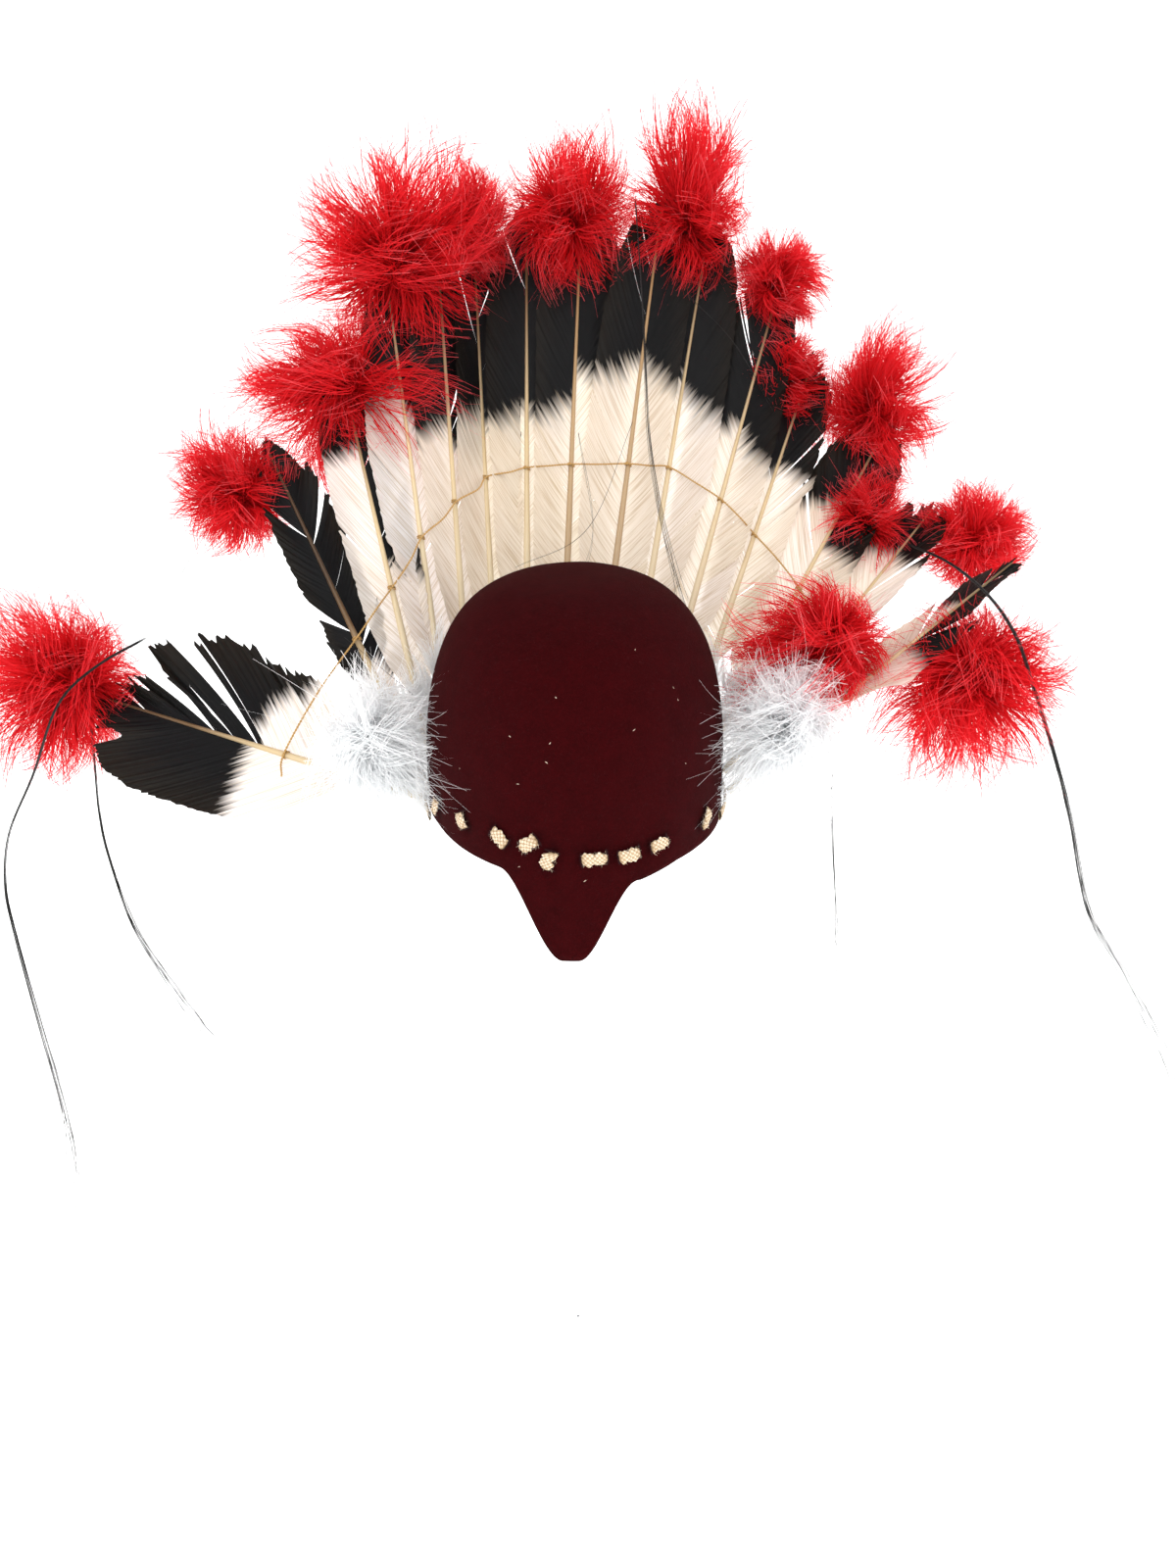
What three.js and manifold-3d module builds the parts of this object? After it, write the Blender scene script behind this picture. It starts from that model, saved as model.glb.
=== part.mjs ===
// Feathered headdress: a felt cap with a forehead tongue, a lace round its rim that carries a fan of
// fifteen black-tipped feathers, a bridle thread through the quills, red plumes on the tips, white
// fluff round the quill bases and loose locks of black horsehair.
// Millimetres, +Z up, the wearer faces -Y. The origin is the centre of the head opening, at the rim.

import * as THREE from 'three';
import { mergeVertices } from 'three/addons/utils/BufferGeometryUtils.js';
import Module from 'manifold-3d';

const wasm = await Module();
wasm.setup();

// ---------------------------------------------------------------- driving dimensions

const GAP = 0.3;                  // clearance kept between pieces that touch

const CAP_HALF_WIDTH = 82;        // outside, ear to ear
const CAP_HALF_DEPTH = 97;        // outside, forehead to nape
const CAP_HEIGHT = 130;
const CAP_SQUARENESS = 3;         // exponent of the dome's profile, 2 would be an ellipse
const FELT = 2.2;                 // felt thickness

const TONGUE_CENTRE = -1.5;       // the forehead tongue sits a little off centre
const TONGUE_HALF_LEFT = 35.5;
const TONGUE_HALF_RIGHT = 33.5;
const TONGUE_TIP = -45;           // height of its rounded tip
const TONGUE_FLANK = 0.88;        // share of the half width that the S-shaped flank takes

const LACE_WIDTH = 6.5;
const LACE_THICKNESS = 2;
const BACK_LACE_HEIGHT = 8;       // middle of the lace that carries the feathers
const BACK_LACE_REACH = 112;      // degrees each side of the nape

const FEATHER_RING = { x: 85, y: 100, z: 13 };   // ring that the quill ends stand on
const QUILL_BASE_RADIUS = 2.4;
const QUILL_TIP_RADIUS = 0.9;
const VANE_STEM = 0.22;           // share of the quill radius that is the vane's half thickness there
const VANE_LIFT = 0.15;           // how far a vane's edge lies over or under its neighbour, per half width
const TOP_FEATHER = 8;            // the feather that lies over both its neighbours
const NEXT_QUILL = 0.86;          // share of the way to the next quill that a vane may reach
const ROOM = 1.4;                 // room left round a feather where it passes through a tuft

const THREAD_RADIUS = 0.6;
const THREAD_STAND = 1.4;         // space between the quills' fronts and the thread
const THREAD_SLACK = 7;           // how far the thread stands forward of the quills between them

const COLOURS = {
  felt: '#45040a', lace: '#dccdb4', feather: '#efe6d6', thread: '#b58f52',
  fluff: '#f4f3ef', plume: '#d3141e', horsehair: '#161214',
};

// Rim height of the cap at each bearing from the forehead, in degrees.
const RIM = [
  { bearing: -180, height: 1 }, { bearing: -120, height: 4 }, { bearing: -90, height: 8 },
  { bearing: -62, height: 8 }, { bearing: -45, height: 5 }, { bearing: -27, height: 3 },
  { bearing: 24, height: -3 }, { bearing: 40, height: 1 }, { bearing: 70, height: 2 },
  { bearing: 90, height: 4 }, { bearing: 120, height: 3 }, { bearing: 180, height: 1 },
];

// Lace stretches that show outside the felt: bearing from the forehead, height, length, turn from level.
const STITCHES = [
  { bearing: -60, height: 19, length: 8.5, turn: 82 },
  { bearing: -42, height: 22, length: 8, turn: -55 },
  { bearing: -26, height: 20, length: 10.5, turn: -28 },
  { bearing: -15, height: 19.5, length: 10, turn: 32 },
  { bearing: -8, height: 12, length: 9, turn: 70 },
  { bearing: 7, height: 13, length: 14.5, turn: 4 },
  { bearing: 19, height: 13, length: 12.5, turn: 6 },
  { bearing: 30.5, height: 14.5, length: 11, turn: 8 },
  { bearing: 54, height: 16, length: 11, turn: 40 },
];

// Feathers, left to right. ring: bearing of the base from the nape. rise and bearing: the quill's
// direction, above level and from straight back. left, right: half widths of the vane. tie: distance
// up the quill where the bridle thread crosses it.
const FEATHERS = [
  { ring: -105, length: 205, rise: 10, bearing: -72, left: 46, right: 62, tie: 84 },
  { ring: -92, length: 230, rise: 48, bearing: -41, left: 18, right: 22, tie: 92 },
  { ring: -78, length: 250, rise: 57, bearing: -26, left: 24, right: 30, tie: 108 },
  { ring: -64, length: 285, rise: 65, bearing: -18, left: 26, right: 32, tie: 128 },
  { ring: -50, length: 300, rise: 68, bearing: -10, left: 26, right: 34, tie: 144 },
  { ring: -36, length: 317, rise: 65, bearing: -7, left: 26, right: 34, tie: 158 },
  { ring: -22, length: 323, rise: 68, bearing: 0, left: 26, right: 34, tie: 160 },
  { ring: -7, length: 325, rise: 70, bearing: 7, left: 28, right: 34, tie: 160 },
  { ring: 8, length: 325, rise: 68, bearing: 20, left: 30, right: 30, tie: 162 },
  { ring: 22, length: 323, rise: 64, bearing: 22, left: 34, right: 28, tie: 164 },
  { ring: 37, length: 300, rise: 60, bearing: 32, left: 34, right: 26, tie: 150 },
  { ring: 52, length: 270, rise: 51, bearing: 31, left: 34, right: 26, tie: 140 },
  { ring: 68, length: 250, rise: 44, bearing: 42, left: 32, right: 26, tie: 120 },
  { ring: 84, length: 230, rise: 33, bearing: 47, left: 34, right: 28, tie: 106 },
  { ring: 100, length: 210, rise: 32, bearing: 67, left: 24, right: 20, tie: 84 },
];

// A vane's width along its quill, as shares of the quill's length and of the half width.
const VANE_PROFILE = [
  { along: 0, width: 0 }, { along: 0.16, width: 0 }, { along: 0.24, width: 0.62 },
  { along: 0.36, width: 0.9 }, { along: 0.52, width: 1 }, { along: 0.68, width: 1 },
  { along: 0.8, width: 0.97 }, { along: 0.9, width: 0.85 }, { along: 0.96, width: 0.58 },
  { along: 1, width: 0.12 },
];

// Red plumes: middle, and how far the locks reach across, in depth and in height.
const PLUMES = [
  { x: -293, y: 40, z: 57, across: 50, depth: 42, height: 66 },
  { x: -199, y: 100, z: 154, across: 38, depth: 34, height: 46 },
  { x: -141, y: 140, z: 214, across: 66, depth: 44, height: 54 },
  { x: -108, y: 158, z: 276, across: 60, depth: 46, height: 66 },
  { x: -70, y: 200, z: 298, across: 32, depth: 36, height: 36 },
  { x: -2, y: 204, z: 305, across: 50, depth: 44, height: 52 },
  { x: 70, y: 220, z: 300, across: 42, depth: 44, height: 60 },
  { x: 123, y: 206, z: 271, across: 34, depth: 38, height: 36 },
  { x: 136, y: 200, z: 210, across: 36, depth: 40, height: 50 },
  { x: 189, y: 174, z: 194, across: 42, depth: 42, height: 52 },
  { x: 184, y: 140, z: 126, across: 34, depth: 36, height: 36 },
  { x: 246, y: 128, z: 116, across: 36, depth: 38, height: 42 },
  { x: 219, y: 28, z: 70, across: 62, depth: 48, height: 54 },
  { x: 146, y: 22, z: 82, across: 48, depth: 38, height: 42 },
];

// White fluff at the ears, as above; the other feathers have a small tuft each, set by BASE_TUFT.
const EAR_FLUFFS = {
  left: { x: -106, y: -12, z: 44, across: 50, depth: 40, height: 56 },
  right: { x: 112, y: -8, z: 48, across: 54, depth: 42, height: 60 },
};
const BIG_TUFT = 138;             // reach across, in depth and in height together, past which a tuft has more locks
const BASE_TUFT = { along: 36, reach: 40, across: 14, depth: 16 };

// Horsehair locks, as points from the plume down to the free end, and their thickness.
const HORSEHAIR = {
  left_long: {
    radius: 1.7,
    route: [[-228, 0, 95], [-255, -6, 81], [-280, -5, 59], [-309, 10, 12], [-339, 25, -33],
      [-356, 38, -75], [-358, 40, -110], [-355, 40, -185], [-352, 40, -250], [-354, 40, -310],
      [-364, 40, -358]],
  },
  left_short: {
    radius: 1.5,
    route: [[-278, 24, 34], [-284, 32, 4], [-288, 36, -24], [-289, 40, -55], [-281, 40, -105], [-264, 40, -148],
      [-246, 40, -186], [-226, 40, -214]],
  },
  centre: {
    radius: 1.6,
    route: [[36, 192, 316], [41, 166, 246], [44, 141, 186], [49, 130, 150], [54, 118, 126],
      [62, 104, 98], [70, 86, 74]],
  },
  right_long: {
    radius: 1.7,
    route: [[188, 60, 133], [205, 30, 128], [221, 8, 115], [233, -6, 97], [244, -6, 74],
      [266, 5, 32], [290, 20, -17], [318, 30, -89], [355, 35, -144], [398, 35, -214],
      [402, 35, -246]],
  },
  right_short: {
    radius: 1.3,
    route: [[150, 40, 56], [150, 38, 40], [150, 35, 20], [155, 34, -38], [162, 35, -92],
      [170, 35, -148]],
  },
};

// ---------------------------------------------------------------- helpers

const radians = THREE.MathUtils.degToRad;
const vector = (x, y, z) => new THREE.Vector3(x, y, z);

/** A closed mesh from its points and triangles, turned so that its faces point out. */
function closedMesh(points, triangles) {
  let volume = 0;
  for (const [a, b, c] of triangles) {
    volume += points[a].dot(points[b].clone().cross(points[c]));
  }
  const outward = volume < 0 ? triangles.map(([a, b, c]) => [a, c, b]) : triangles;
  const geometry = new THREE.BufferGeometry();
  geometry.setAttribute('position', new THREE.Float32BufferAttribute(points.flatMap((p) => p.toArray()), 3));
  geometry.setIndex(outward.flat());
  return geometry;
}

/**
 * A closed solid through rings of points, all with the same count, with a fan over each end. A thin
 * leaf has each ring's second half behind its first, and its two walls are cut along like diagonals,
 * so that they don't pass through each other where it twists.
 */
function loft(rings, leaf = false) {
  const count = rings[0].length;
  const points = rings.flat();
  const triangles = [];
  for (let i = 0; i + 1 < rings.length; i++) {
    for (let j = 0; j < count; j++) {
      const a = i * count + j;
      const b = i * count + (j + 1) % count;
      if (leaf && j >= count / 2) triangles.push([a, b, a + count], [b, b + count, a + count]);
      else triangles.push([a, b, b + count], [a, b + count, a + count]);
    }
  }
  for (const [start, flip] of [[0, true], [(rings.length - 1) * count, false]]) {
    for (let j = 1; j + 1 < count; j++) {
      const fan = [start, start + j, start + j + 1];
      triangles.push(flip ? fan.reverse() : fan);
    }
  }
  return closedMesh(points, triangles);
}

/** A round tube along a curve, whose radius is a function of the share of the way along. */
function tube(curve, radiusAt, steps, sides) {
  const frames = curve.computeFrenetFrames(steps, false);
  const rings = [];
  for (let i = 0; i <= steps; i++) {
    const centre = curve.getPointAt(i / steps);
    const radius = radiusAt(i / steps);
    rings.push(Array.from({ length: sides }, (_, k) => {
      const turn = 2 * Math.PI * k / sides;
      return centre.clone()
        .addScaledVector(frames.normals[i], radius * Math.cos(turn))
        .addScaledVector(frames.binormals[i], radius * Math.sin(turn));
    }));
  }
  return loft(rings);
}

/** A geometry's manifold-3d solid. */
function toSolid(geometry) {
  return new wasm.Manifold(new wasm.Mesh({
    numProp: 3,
    vertProperties: new Float32Array(geometry.attributes.position.array),
    triVerts: new Uint32Array(geometry.index.array),
  }));
}

/** The geometry of a manifold-3d solid. */
function toGeometry(solid) {
  const mesh = solid.getMesh();
  const geometry = new THREE.BufferGeometry();
  geometry.setAttribute('position', new THREE.BufferAttribute(new Float32Array(mesh.vertProperties), 3));
  geometry.setIndex(new THREE.BufferAttribute(new Uint32Array(mesh.triVerts), 1));
  return geometry;
}

/** What is left of a geometry when others are cut out of it, without the crumbs that come loose. */
function cutClear(geometry, cutters) {
  const left = cutters.reduce((solid, cutter) => solid.subtract(toSolid(cutter)), toSolid(geometry));
  const bodies = left.decompose();
  return toGeometry(bodies.reduce((most, body) => (body.volume() > most.volume() ? body : most)));
}

/** A table's value at a place between its rows, on straight lines. */
function between(rows, place, at, value) {
  const next = rows.findIndex((row) => row[place] >= at);
  if (next <= 0) return rows[next === 0 ? 0 : rows.length - 1][value];
  const share = (at - rows[next - 1][place]) / (rows[next][place] - rows[next - 1][place]);
  return THREE.MathUtils.lerp(rows[next - 1][value], rows[next][value], share);
}

// ---------------------------------------------------------------- felt cap

/** Half width of the dome at a height, as a share of its half width at the rim. */
function domeShare(height, top) {
  const share = THREE.MathUtils.clamp(height / top, 0, 1);
  return (1 - share ** CAP_SQUARENESS) ** (1 / CAP_SQUARENESS);
}

/** Height of the cap's lower edge at a bearing from the forehead, tongue included. */
function rimHeight(bearing) {
  const rim = between(RIM, 'bearing', bearing, 'height');
  const side = CAP_HALF_WIDTH * Math.sin(radians(bearing)) - TONGUE_CENTRE;
  const reach = Math.abs(side) / (side < 0 ? TONGUE_HALF_LEFT : TONGUE_HALF_RIGHT);
  if (Math.abs(bearing) > 90 || reach >= 1) return rim;
  return THREE.MathUtils.lerp(rim, TONGUE_TIP, THREE.MathUtils.smoothstep(1 - reach, 0, TONGUE_FLANK));
}

/** A point of the cap's wall at a bearing from the forehead, a height and an inset from the outside. */
function capPoint(bearing, height, inset) {
  const share = domeShare(height, CAP_HEIGHT - inset);
  const turn = radians(bearing);
  return vector(
    (CAP_HALF_WIDTH - inset) * share * Math.sin(turn),
    -(CAP_HALF_DEPTH - inset) * share * Math.cos(turn),
    height,
  );
}

/** The bearings of the cap's columns: close together over the tongue, wider round the rest. */
function capBearings() {
  const tongue = Array.from({ length: 15 }, (_, k) => -28 + 4 * k);
  const rest = Array.from({ length: 29 }, (_, k) => 28 + 304 * (k + 1) / 30);
  return [...tongue, ...rest].map((bearing) => (bearing > 180 ? bearing - 360 : bearing));
}

/** The cap's wall, outside and inside, joined along its cut lower edge and closed at the crown. */
function feltCap() {
  const bearings = capBearings();
  const levels = [0.14, 0.34, 0.55, 0.72, 0.85, 0.94, 0.985];
  const points = [];
  const triangles = [];
  const count = bearings.length;
  for (const inset of [0, FELT]) {
    const top = CAP_HEIGHT - inset;
    for (const bearing of bearings) points.push(capPoint(bearing, rimHeight(bearing), inset));
    for (const level of levels) {
      for (const bearing of bearings) points.push(capPoint(bearing, level * top, inset));
    }
    points.push(vector(0, 0, top));
  }
  const shell = count * (levels.length + 1) + 1;
  for (const [start, flip] of [[0, false], [shell, true]]) {
    const add = (a, b, c) => triangles.push(flip ? [a, c, b] : [a, b, c]);
    for (let j = 0; j < count; j++) {
      const k = (j + 1) % count;
      for (let i = 0; i < levels.length; i++) {
        const a = start + i * count + j;
        const b = start + i * count + k;
        add(a, b, b + count);
        add(a, b + count, a + count);
      }
      add(start + levels.length * count + j, start + levels.length * count + k, start + shell - 1);
    }
  }
  for (let j = 0; j < count; j++) {
    const k = (j + 1) % count;
    triangles.push([j, shell + k, k], [j, shell + j, shell + k]);
  }
  return closedMesh(points, triangles);
}

/** The cap's outer form as a plain block, a little bigger, which keeps fluff out of the cap. */
function capBlock() {
  const heights = [TONGUE_TIP, 0, 0.3, 0.5, 0.66, 0.79, 0.89, 0.96, 1];
  const bearings = Array.from({ length: 32 }, (_, k) => 360 * k / 32);
  return loft(heights.map((level) => {
    const height = level > 0 ? level * (CAP_HEIGHT + 2 * GAP) : level;
    return bearings.map((bearing) => capPoint(bearing, Math.min(height, CAP_HEIGHT + 1.5 * GAP), -2 * GAP));
  }));
}

// ---------------------------------------------------------------- lace

/** A stretch of lace on the felt: a flat band with rounded edges that dips back in at both ends. */
function laceStitch({ bearing, height, length, turn }) {
  const half = LACE_WIDTH / 2;
  const flat = [[-1, 0.25], [-0.75, 0.85], [0, 1], [0.75, 0.85], [1, 0.25], [0, 0]];
  const shares = [-1, -0.65, 0.65, 1];
  return loft(shares.map((share) => {
    const lift = Math.abs(share) === 1 ? 0.55 : 1;
    return flat.map(([side, rise]) => {
      const along = share * length / 2;
      const across = side * half * (0.8 + 0.2 * lift);
      const level = along * Math.cos(radians(turn)) - across * Math.sin(radians(turn));
      const up = along * Math.sin(radians(turn)) + across * Math.cos(radians(turn));
      const swing = bearing + THREE.MathUtils.radToDeg(level / CAP_HALF_DEPTH);
      return capPoint(swing, height + up, -(GAP + 0.35) - rise * LACE_THICKNESS * lift);
    });
  }));
}

/** The lace that carries the feathers, a flat band round the back and sides of the rim. */
function backLace() {
  const steps = 26;
  const low = BACK_LACE_HEIGHT - LACE_WIDTH / 2;
  const high = Math.min(BACK_LACE_HEIGHT + LACE_WIDTH / 2, FEATHER_RING.z - QUILL_BASE_RADIUS);
  return loft(Array.from({ length: steps + 1 }, (_, k) => {
    const bearing = 180 - BACK_LACE_REACH + 2 * BACK_LACE_REACH * k / steps;
    const near = -2 * GAP;
    const far = near - LACE_THICKNESS * 0.8;
    return [capPoint(bearing, low, near), capPoint(bearing, low, far),
      capPoint(bearing, high, far), capPoint(bearing, high, near)];
  }));
}

// ---------------------------------------------------------------- feathers

function quillBase({ ring }) {
  const turn = radians(ring);
  return vector(FEATHER_RING.x * Math.sin(turn), FEATHER_RING.y * Math.cos(turn), FEATHER_RING.z);
}

function quillDirection({ rise, bearing }) {
  const up = radians(rise);
  const turn = radians(bearing);
  return vector(Math.cos(up) * Math.sin(turn), Math.cos(up) * Math.cos(turn), Math.sin(up));
}

/** A point on the straight line of a feather's quill. */
const quillLine = (row, along) => quillBase(row).addScaledVector(quillDirection(row), along);

/** The direction across a feather at one place, towards the next feather on the side asked for. */
function vaneDirection(index, along, side) {
  const row = FEATHERS[index];
  const step = side < 0 ? -1 : 1;
  const inside = FEATHERS[index + step] !== undefined;
  const other = FEATHERS[inside ? index + step : index - step];
  const way = quillLine(other, along).sub(quillLine(row, along)).multiplyScalar(inside ? 1 : -1);
  const direction = quillDirection(row);
  return way.addScaledVector(direction, -way.dot(direction)).normalize();
}

/** The direction out of a feather's front at one place. */
function vaneFront(index, along) {
  const across = vaneDirection(index, along, 1).sub(vaneDirection(index, along, -1));
  return across.cross(quillDirection(FEATHERS[index])).normalize();
}

/** A vane's reach from the quill on one side: its own half width, but not past the next quill. */
function vaneReach(index, along, width, side) {
  const row = FEATHERS[index];
  const other = FEATHERS[index + side];
  const own = width * (side < 0 ? row.left : row.right);
  const radius = THREE.MathUtils.lerp(QUILL_BASE_RADIUS, QUILL_TIP_RADIUS, along / row.length);
  const space = other ? quillLine(other, along).distanceTo(quillLine(row, along)) : Infinity;
  return Math.max(Math.min(own, NEXT_QUILL * space), radius);
}

/** How far a vane comes forward per millimetre out: over its neighbour, or tucked behind it. */
function vaneLift(index, side) {
  if (index === TOP_FEATHER) return VANE_LIFT;
  return (index < TOP_FEATHER) === (side < 0) ? VANE_LIFT : -VANE_LIFT;
}

/** A point of a feather: along its quill, across its vane and out of its front. */
function featherPoint(index, along, side, out) {
  const lift = vaneLift(index, side) * Math.abs(side);
  return quillLine(FEATHERS[index], along)
    .addScaledVector(vaneFront(index, along), out + lift)
    .addScaledVector(vaneDirection(index, along, side), Math.abs(side));
}

/** A feather, quill and vane in one. */
function feather(index) {
  const { length } = FEATHERS[index];
  return loft(VANE_PROFILE.map(({ along, width }) => {
    const radius = THREE.MathUtils.lerp(QUILL_BASE_RADIUS, QUILL_TIP_RADIUS, along);
    const stem = VANE_STEM * radius;
    const point = (side, out) => featherPoint(index, along * length, side, out);
    const reach = (side) => vaneReach(index, along * length, width, side);
    return [
      point(-reach(-1), 0), point(-radius * 0.8, stem), point(0, radius), point(radius * 0.8, stem),
      point(reach(1), 0), point(radius * 0.8, -stem), point(0, -radius), point(-radius * 0.8, -stem),
    ];
  }), true);
}

/** A plainer, slightly bigger feather that cuts its room out of the tufts round it. */
function featherRoom(index) {
  const { length } = FEATHERS[index];
  return loft(VANE_PROFILE.map(({ along, width }) => {
    const radius = THREE.MathUtils.lerp(QUILL_BASE_RADIUS, QUILL_TIP_RADIUS, along) + ROOM;
    const place = along * length + (along < 1 ? 0 : ROOM);
    const point = (side, out) => featherPoint(index, place, side, out);
    const reach = (side) => vaneReach(index, along * length, width, side) + ROOM * 2;
    return [point(-reach(-1), 0), point(0, radius), point(reach(1), 0), point(0, -radius)];
  }), true);
}

/** The bridle thread, which lies on the front of every quill and runs free between them. */
function bridleThread(grow = 0) {
  const knots = FEATHERS.map(({ tie }, index) => {
    const radius = THREE.MathUtils.lerp(QUILL_BASE_RADIUS, QUILL_TIP_RADIUS, tie / FEATHERS[index].length);
    return featherPoint(index, tie, 0, radius + THREAD_RADIUS + THREAD_STAND);
  });
  const ends = [featherPoint(0, FEATHERS[0].tie - 6, -14, 4), featherPoint(14, FEATHERS[14].tie - 4, 12, 4)];
  const points = [ends[0], ...knots, ends[1]];
  const route = points.flatMap((point, k) => {
    if (k === 0 || k + 1 === points.length || k === 1) return [point];
    const slack = vaneFront(k - 1, FEATHERS[k - 1].tie).multiplyScalar(THREAD_SLACK);
    return [point.clone().lerp(points[k - 1], 0.5).add(slack), point];
  });
  const curve = new THREE.CatmullRomCurve3(route, false, 'catmullrom', 0.35);
  return tube(curve, () => THREAD_RADIUS + grow, 44, 4);
}

// ---------------------------------------------------------------- marabou

/** A share from 0 to 1 that looks random but is always the same for one number. */
const scatter = (number) => Math.abs(Math.sin(number * 12.9898 + 4.1414) * 43758.5453) % 1;

/** Planes half way to each neighbour, so that no two tufts of one kind reach each other. */
function limitsFor(tuft, others) {
  const centre = vector(tuft.x, tuft.y, tuft.z);
  const size = (t) => (t.across + t.depth + t.height) / 3;
  return others.filter((other) => other !== tuft).map((other) => {
    const way = vector(other.x, other.y, other.z).sub(centre);
    const distance = way.length();
    const share = size(tuft) / (size(tuft) + size(other));
    return { normal: way.normalize(), distance: distance * share - GAP / 2 };
  });
}

/** A marabou tuft: a head with pointed locks all round, fused in one star-shaped solid. */
function marabou(tuft, seed, detail, limits) {
  const star = new THREE.IcosahedronGeometry(1, detail);
  star.deleteAttribute('normal');
  star.deleteAttribute('uv');
  const geometry = mergeVertices(star, 1e-4);
  const places = geometry.attributes.position;
  for (let i = 0; i < places.count; i++) {
    const way = vector().fromBufferAttribute(places, i).normalize();
    const lock = scatter(seed + i * 1.7);
    const length = lock > 0.45 ? 0.8 + 0.2 * scatter(seed - i) : 0.5 + 0.16 * lock;
    const reach = vector(way.x * tuft.across, way.y * tuft.depth, way.z * tuft.height)
      .multiplyScalar(length);
    const least = limits.reduce((share, { normal, distance }) => {
      const toward = reach.dot(normal);
      return toward > distance ? Math.min(share, distance / toward) : share;
    }, 1);
    reach.multiplyScalar(least);
    places.setXYZ(i, tuft.x + reach.x, tuft.y + reach.y, tuft.z + reach.z);
  }
  return geometry;
}

/** The small tuft round a feather's quill base, as a row like the plumes'. */
function baseTuft(index) {
  const middle = featherPoint(index, BASE_TUFT.along, 0, 0);
  return { x: middle.x, y: middle.y, z: middle.z,
    across: BASE_TUFT.across, depth: BASE_TUFT.depth, height: BASE_TUFT.reach };
}

// ---------------------------------------------------------------- horsehair

/** A lock of horsehair, thinner towards its free end, grown where it is used as a cutter. */
function horsehair({ radius, route }, grow = 0) {
  const curve = new THREE.CatmullRomCurve3(route.map((point) => vector(...point)), false, 'centripetal');
  return tube(curve, (share) => THREE.MathUtils.lerp(radius, radius * 0.45, share) + grow, 16, 4);
}

// ---------------------------------------------------------------- assembly

const headdress = new THREE.Group();

/** Adds a named piece of one material to the headdress. */
function add(name, geometry, material) {
  const flat = geometry.toNonIndexed();
  flat.computeVertexNormals();
  const mesh = new THREE.Mesh(flat, material);
  mesh.name = name;
  headdress.add(mesh);
}

const finish = (colour, roughness) => new THREE.MeshStandardMaterial({ color: colour, roughness, metalness: 0 });
const felt = finish(COLOURS.felt, 0.95);
const lace = finish(COLOURS.lace, 0.85);
const vane = finish(COLOURS.feather, 0.6);
const thread = finish(COLOURS.thread, 0.8);
const fluff = finish(COLOURS.fluff, 0.9);
const plume = finish(COLOURS.plume, 0.85);
const hair = finish(COLOURS.horsehair, 0.45);
const numbered = (name, index) => `${name}_${String(index + 1).padStart(2, '0')}`;

add('felt_cap', feltCap(), felt);
STITCHES.forEach((row, index) => add(numbered('lace_stitch', index), laceStitch(row), lace));
add('back_lace', backLace(), lace);
FEATHERS.forEach((row, index) => add(numbered('feather', index), feather(index), vane));
add('bridle_thread', bridleThread(), thread);
for (const [name, lock] of Object.entries(HORSEHAIR)) add(`horsehair_${name}`, horsehair(lock), hair);

const slender = [
  ...FEATHERS.map((row, index) => featherRoom(index)),
  ...Object.values(HORSEHAIR).map((lock) => horsehair(lock, GAP)),
  bridleThread(GAP),
];
const smallTufts = FEATHERS.slice(2, 13).map((row, index) => baseTuft(index + 2));
const fluffs = [EAR_FLUFFS.left, ...smallTufts, EAR_FLUFFS.right];
const tufts = [...PLUMES, ...fluffs];
const besideCap = [capBlock(), backLace(), ...slender];

PLUMES.forEach((row, index) => {
  const detail = row.across + row.depth + row.height > BIG_TUFT ? 2 : 1;
  const star = marabou(row, index * 31, detail, limitsFor(row, tufts));
  add(numbered('red_plume', index), cutClear(star, slender), plume);
});
fluffs.forEach((row, index) => {
  const detail = row.across + row.depth + row.height > BIG_TUFT ? 2 : 1;
  const star = marabou(row, index * 17 + 500, detail, limitsFor(row, tufts));
  add(numbered('white_fluff', index), cutClear(star, besideCap), fluff);
});

export default headdress;
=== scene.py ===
"""Feathered headdress: felt cap, laced-on feather fan, bridle thread, marabou and horsehair.

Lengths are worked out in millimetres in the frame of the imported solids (+Z up, the wearer faces -Y,
the origin in the head opening) and are turned to metres once, where a mesh is filled.
"""
import logging
import math
from dataclasses import dataclass, field
from enum import Enum

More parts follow.
